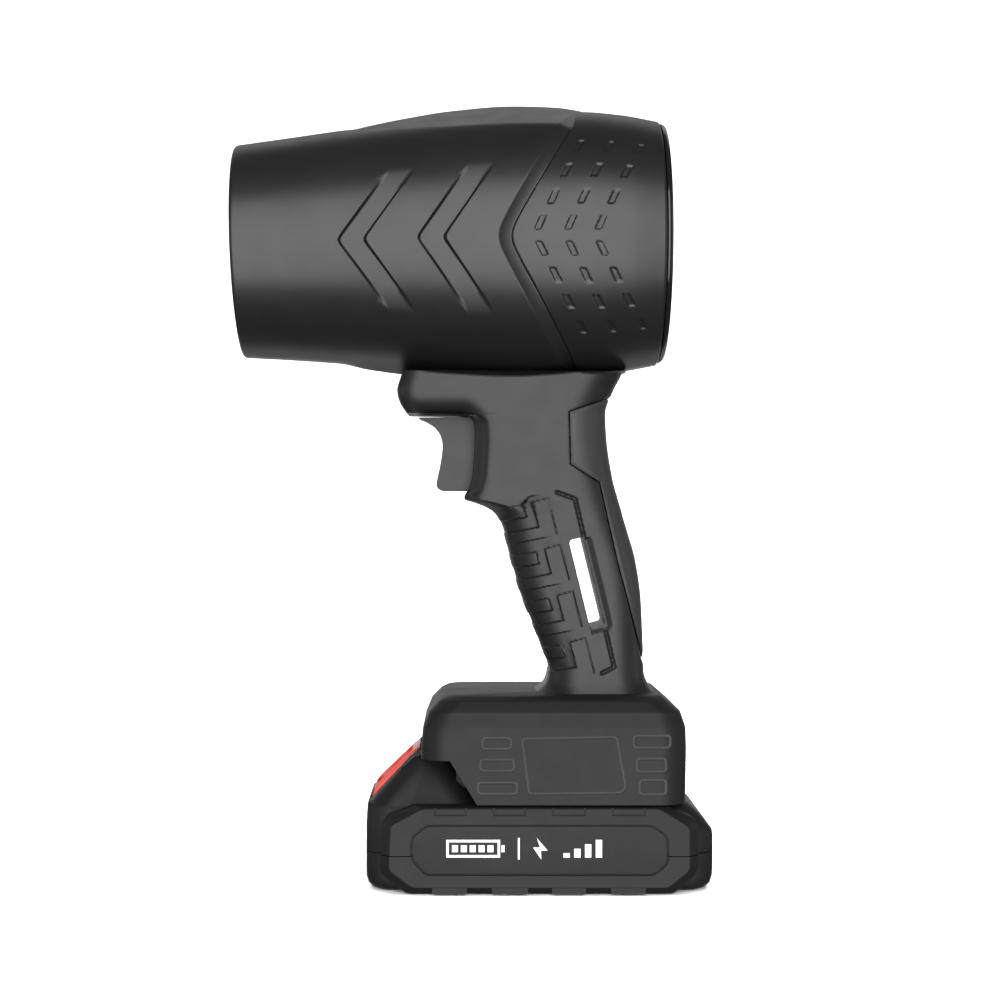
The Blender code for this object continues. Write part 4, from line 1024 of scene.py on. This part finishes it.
def case_cutters():
    """The battery's hollows: cells, board, latch, clip slots, label beds, tab lines and screws."""
    cutters = [
        prism("cell_hollow", CELL_HOLLOW, 33.2),
        box("board_hollow", (-8.0, -24.0, 22.0), (60.0, 24.0, 25.6)),
        box("latch_pocket", (-33.9, -12.4, 23.6), (-9.9, 12.4, 60.0)),
    ]
    for i, y in enumerate((-8.0, 8.0)):
        cutters.append(box(f"clip_slot_{i}", (38.0, y - 2.0, 30.6), (70.0, y + 2.0, 45.0)))
    bed = offset_outline(rounded_outline(anticlockwise(LABEL_OUTLINE), 1.6, 4), 0.6)
    for side in (-1, 1):
        cutters.append(side_cutter(f"label_bed_{side}", bed, side, 1.0))
        for i, (low_x, high_x) in enumerate(TOP_TABS):
            cutters.append(side_cutter(f"top_tab_{side}_{i}", tab_band(low_x, high_x), side, 0.6))
    for i, (x, y) in enumerate(((-30.0, -20.0), (-30.0, 20.0), (71.6, -20.0), (71.6, 20.0))):
        profile = ((-1.0, 0.0), (-1.0, 3.2), (3.2, 3.2), (3.2, 1.5), (18.0, 1.5), (18.0, 0.0))
        cutters.append(turned(f"case_screw_{i}", profile, (x, y, 0.0), "Z", 32))
    return cutters


def add_tabs(case):
    """Bottom tabs that carry the cheek's face down over its bevel."""
    tabs = []
    for i, (low_x, high_x) in enumerate(BOTTOM_TABS):
        outline = ((low_x, 0.6), (high_x, 0.6), (high_x, 3.9), (low_x, 3.9))
        outline = rounded_outline(outline, 0.8, 3)
        tabs.append(prism(f"tab_{i}", outline, CASE_SIDE_HALF - 0.12))
    return cut(case, tabs, "UNION")


def case_half(name, lower):
    case = form(name, CORE_STATIONS)
    cut(case, [cheek_form("cheeks")], "UNION")
    if lower:
        add_tabs(case)
        cut(case, [box("above_split", (-100, -60, CASE_SPLIT_Z - 0.05), (100, 60, 90))])
    else:
        cut(case, [form("latch_housing", HOUSING_STATIONS)], "UNION")
        crest = ((-24.2, 38.0), (-17.75, 38.0), (-17.75, 44.3), (-18.1, 44.3))
        cut(case, [pillow("latch_crest", anticlockwise(crest), 17.6, 0.1, None, steps=2)], "UNION")
        rails = [box("rail", (-6.0, -RAIL_HALF, 24.0), (66.0, RAIL_HALF, 33.0)),
                 box("flange", (-6.0, -FLANGE_HALF, 32.2), (66.0, FLANGE_HALF, RAIL_TOP))]
        cut(case, rails, "UNION")
        cut(case, [box("below_split", (-100, -60, -20), (100, 60, CASE_SPLIT_Z + 0.25))])
    cut(case, case_cutters(), sharp=28.0)
    case.data.materials.clear()
    case.data.materials.append(PACK)
    soften(case, 0.25, 2)
    return case


def soften(obj, width, segments, angle=40.0):
    """A small bevel on crisp edges, so they catch the light."""
    step = obj.modifiers.new("edge", "BEVEL")
    step.width = width * MM
    step.segments = segments
    step.limit_method = "ANGLE"
    step.angle_limit = math.radians(angle)
    step.use_clamp_overlap = True
    step.harden_normals = True
    return obj


def make_battery_case():
    for name, lower in (("battery_lower_case", True), ("battery_upper_case", False)):
        case = case_half(name + "_fine", lower)
        settle(case, "battery_pack", [name])


def make_labels():
    """Plain label plates, each with a generic pack mark in place of printed words."""
    for name, side in (("battery_label_left", -1), ("battery_label_right", 1)):
        flat = rounded_outline(anticlockwise(LABEL_OUTLINE), 1.6, 4)
        plate = pillow(name + "_fine", flat, 0.3, 0.15, PACK, side * (CASE_SIDE_HALF - 0.38), 3)
        settle(plate, "battery_pack", [name])
        mark = pack_mark(f"pack_mark_{name[14:]}", side)
        settle(mark, "battery_pack")


# Twice the middle x of the mark, to turn it round on the far side
MARK_SPAN = 41.2


def bar(low_x, high_x, low_z, high_z):
    return ((low_x, low_z), (low_x, high_z), (high_x, high_z), (high_x, low_z))


def pack_mark(name, side):
    """A battery outline with five charge bars, a divider and a flash, as thin white film."""
    shapes = [
        ((-9.0, 12.2), (-9.0, 17.8), (-8.2, 17.8), (-8.2, 13.0), (7.2, 13.0), (7.2, 12.2)),
        ((7.2, 12.2), (7.2, 13.0), (7.2, 17.0), (-8.2, 17.0), (-8.2, 17.8), (8.0, 17.8), (8.0, 12.2)),
        bar(8.4, 9.4, 13.9, 16.1),
        bar(13.6, 14.2, 11.6, 18.4),
        ((21.0, 11.6), (18.4, 15.4), (20.6, 15.4), (19.6, 18.4), (23.0, 14.4), (20.9, 14.4)),
    ]
    shapes += [bar(-7.2 + 2.8 * i, -7.2 + 2.8 * i + 1.9, 13.9, 16.1) for i in range(5)]
    shapes += [bar(28.0 + 3.4 * i, 28.0 + 3.4 * i + 2.0, 12.2, 13.6 + 1.4 * i) for i in range(4)]
    points = []
    faces = []
    for shape in shapes:
        flat = [(x if side < 0 else MARK_SPAN - x, z) for x, z in shape]
        rings = [[(x, side * (CASE_SIDE_HALF - under), z) for x, z in flat] for under in (0.09, 0.03)]
        new_points, new_faces = skin(rings)
        faces += [tuple(len(points) + corner for corner in face) for face in new_faces]
        points += new_points
    return mesh_piece(name, points, faces, WHITE, sharp=30.0)


LATCH_OUTLINE = (
    (-33.5, 26.4), (-33.5, 28.6), (-33.0, 30.4), (-31.4, 32.4), (-23.4, 40.0), (-20.4, 42.9), (-18.9, 44.0),
    (-18.1, 44.0), (-18.1, 41.4), (-14.4, 41.4), (-14.4, 42.0), (-10.3, 42.0), (-10.3, 31.0), (-22.0, 31.0),
    (-25.0, 26.4),
)
SCOOP_MIDDLE = (-27.0, 37.2)


def make_latch():
    """The red button with its finger scoop, cut along the slope."""
    latch = pillow("latch_button_fine", anticlockwise(list(LATCH_OUTLINE)), 12.0, 0.5, RED, steps=4)
    rings = []
    for i in range(33):
        turn = math.pi * i / 32
        y = -9.8 * math.cos(turn)
        size = 0.25 + math.sin(turn) ** 0.6
        ring = []
        for j in range(36):
            around_at = 2 * math.pi * j / 36
            along = 8.6 * min(1.0, size) * math.cos(around_at)
            deep = 4.6 * min(1.0, size) * math.sin(around_at)
            x = SCOOP_MIDDLE[0] + 0.70 * along + 0.71 * deep
            ring.append((x, y, SCOOP_MIDDLE[1] + 0.71 * along - 0.70 * deep))
        rings.append(ring)
    cut(latch, [lofted("scoop", rings)], sharp=35.0)
    settle(latch, "latch", ["latch_button"])


# ---------------------------------------------------------------- carried-over parts

NODE_LOOKS = (
    (FAN, ("intake_grille", "stator_duct", "tail_cone", "impeller")),
    (GLOSS, ("switch_body", "terminal_block")),
    (RED, ("switch_plunger",)),
    (STEEL, ("motor_core", "front_bearing", "rear_bearing", "motor_shaft", "trigger_spring", "latch_spring")),
    (STEEL, ("cell_strip_left", "cell_strip_right")),
    (STEEL, tuple(f"handle_screw_{i}" for i in range(1, 6))),
    (STEEL, tuple(f"battery_screw_{i}" for i in range(1, 5))),
    (COPPER, ("motor_windings",)),
    (ALUMINIUM, ("motor_end_plate", "motor_rear_plate", "spinner_nut", "heat_sink", "capacitor")),
    (MAGNET, ("rotor_magnet",)),
    (BRASS, ("contact_blade_negative", "contact_blade_positive")),
    (BRASS, ("battery_clip_negative", "battery_clip_positive")),
    (BOARD, ("control_board", "battery_board")),
    (WRAP, tuple(f"cell_{i}" for i in range(1, 6))),
)
EDGE_WIDTHS = {
    "intake_grille": 0.3, "stator_duct": 0.2, "impeller": 0.12, "spinner_nut": 0.3, "tail_cone": 0.3,
}


def dress(node, finish):
    """Gives a carried-over CAD node its material, and a small edge bevel where it is seen closely."""
    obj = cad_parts[node]
    obj.data.materials.clear()
    obj.data.materials.append(finish)
    if node in EDGE_WIDTHS:
        soften(obj, EDGE_WIDTHS[node], 2)


def dress_nodes():
    for finish, nodes in NODE_LOOKS:
        for node in nodes:
            dress(node, finish)
    for node, colour in LEAD_COLOURS.items():
        dress(node, grained(node + "_sheath", colour, 0.42, 1200.0, 0.06))


# ---------------------------------------------------------------- floor, light and camera


FLOOR_RADIUS = 3000.0
CURVE_RADIUS = 1000.0
WALL_TOP = 5000.0
FLOOR_STEPS = 96


def make_stage():
    """A pale round floor that curves up into a pale wall, kept out of the object's own reflections."""
    curve = [(1500.0, 0.0), (FLOOR_RADIUS, 0.0)]
    for i in range(1, 13):
        turn = math.pi / 2 * i / 12
        curve.append((FLOOR_RADIUS + CURVE_RADIUS * math.sin(turn), CURVE_RADIUS * (1 - math.cos(turn))))
    curve.append((FLOOR_RADIUS + CURVE_RADIUS, WALL_TOP))
    turns = [2 * math.pi * i / FLOOR_STEPS for i in range(FLOOR_STEPS)]
    points = [(r * math.cos(turn), r * math.sin(turn), z) for r, z in curve for turn in turns]
    faces = [tuple(range(FLOOR_STEPS))]
    for row in range(len(curve) - 1):
        here = row * FLOOR_STEPS
        there = here + FLOOR_STEPS
        for i in range(FLOOR_STEPS):
            j = (i + 1) % FLOOR_STEPS
            faces.append((here + i, there + i, there + j, here + j))
    mesh = bpy.data.meshes.new("studio_floor")
    mesh.from_pydata([tuple(c * MM for c in point) for point in points], [], faces)
    mesh.shade_smooth()
    paper = grained("studio_paper", (0.86, 0.86, 0.86), 0.8, 400.0, bump=0.02, drift=0.01)
    mesh.materials.append(paper)
    floor = bpy.data.objects.new("studio_floor", mesh)
    stage = bpy.data.collections.new("stage")
    bpy.context.scene.collection.children.link(stage)
    stage.objects.link(floor)
    floor.visible_glossy = False
    floor.visible_diffuse = False
    floor.visible_shadow = False
    return stage


def add_light(name, kind, direction):
    """A light that shines along a direction."""
    light = bpy.data.lights.new(name, kind)
    lamp = bpy.data.objects.new(name, light)
    lamp.rotation_euler = Vector(direction).to_track_quat("-Z", "Y").to_euler()
    bpy.context.scene.collection.objects.link(lamp)
    return light, lamp


def stage_light(name, direction, strength, stage):
    """An even, soft light on the floor and wall alone."""
    light, lamp = add_light(name, "SUN", direction)
    light.energy = strength
    light.angle = math.radians(60.0)
    lamp.light_linking.receiver_collection = stage


def softbox(name, spot, aim, size, radiance):
    """A rectangular softbox of the given radiance."""
    light, lamp = add_light(name, "AREA", Vector(aim) - Vector(spot))
    light.shape = "RECTANGLE"
    light.size, light.size_y = size
    light.energy = radiance * math.pi * size[0] * size[1]
    lamp.location = spot
    lamp.visible_camera = False


def make_lights(stage):
    aim = (0.0, 0.0, 0.15)
    softbox("front_box", (0.0, -1.6, 0.3), (0.0, 0.0, 0.2), (2.2, 3.1), 4.0)
    softbox("back_box", (0.0, 1.6, 0.2), aim, (2.4, 1.0), 1.2)
    softbox("back_top_box", (0.0, 1.3, 1.3), aim, (2.4, 0.8), 0.6)
    softbox("back_low_box", (0.0, 1.3, -0.9), aim, (2.4, 0.8), 0.5)
    softbox("left_box", (-1.7, 0.2, 0.3), aim, (0.9, 1.0), 1.0)
    softbox("right_box", (1.7, 0.2, 0.3), aim, (0.9, 1.0), 1.0)
    stage_light("floor_light", (0.0, 0.0, -1.0), 4.6, stage)
    for i in range(4):
        turn = math.pi / 2 * i
        stage_light(f"wall_light_{i}", (math.cos(turn), math.sin(turn), 0.0), 3.8, stage)
    world = bpy.data.worlds.new("studio")
    world.use_nodes = True
    world.node_tree.nodes["Background"].inputs["Color"].default_value = (1.0, 1.0, 1.0, 1.0)
    world.node_tree.nodes["Background"].inputs["Strength"].default_value = 0.08
    bpy.context.scene.world = world


def make_camera():
    """Level with the trigger, square to the side, 0.7 m off."""
    camera = bpy.data.cameras.new("camera")
    camera.lens = 75.6
    camera.sensor_width = 36.0
    camera.shift_x = 0.0295
    holder = bpy.data.objects.new("camera", camera)
    holder.location = (-0.00135, -0.7, 0.1251)
    holder.rotation_euler = (math.pi / 2, 0.0, 0.0)
    bpy.context.scene.collection.objects.link(holder)
    bpy.context.scene.camera = holder


def set_look():
    view = bpy.context.scene.view_settings
    view.view_transform = "Standard"
    view.look = "None"
    view.exposure = 0.0


def main():
    make_front_shell()
    make_rear_shroud()
    make_intake_ring()
    make_handle()
    make_palm_grip()
    make_trigger()
    make_battery_case()
    make_labels()
    make_latch()
    dress_nodes()
    stage = make_stage()
    make_lights(stage)
    make_camera()
    set_look()


main()
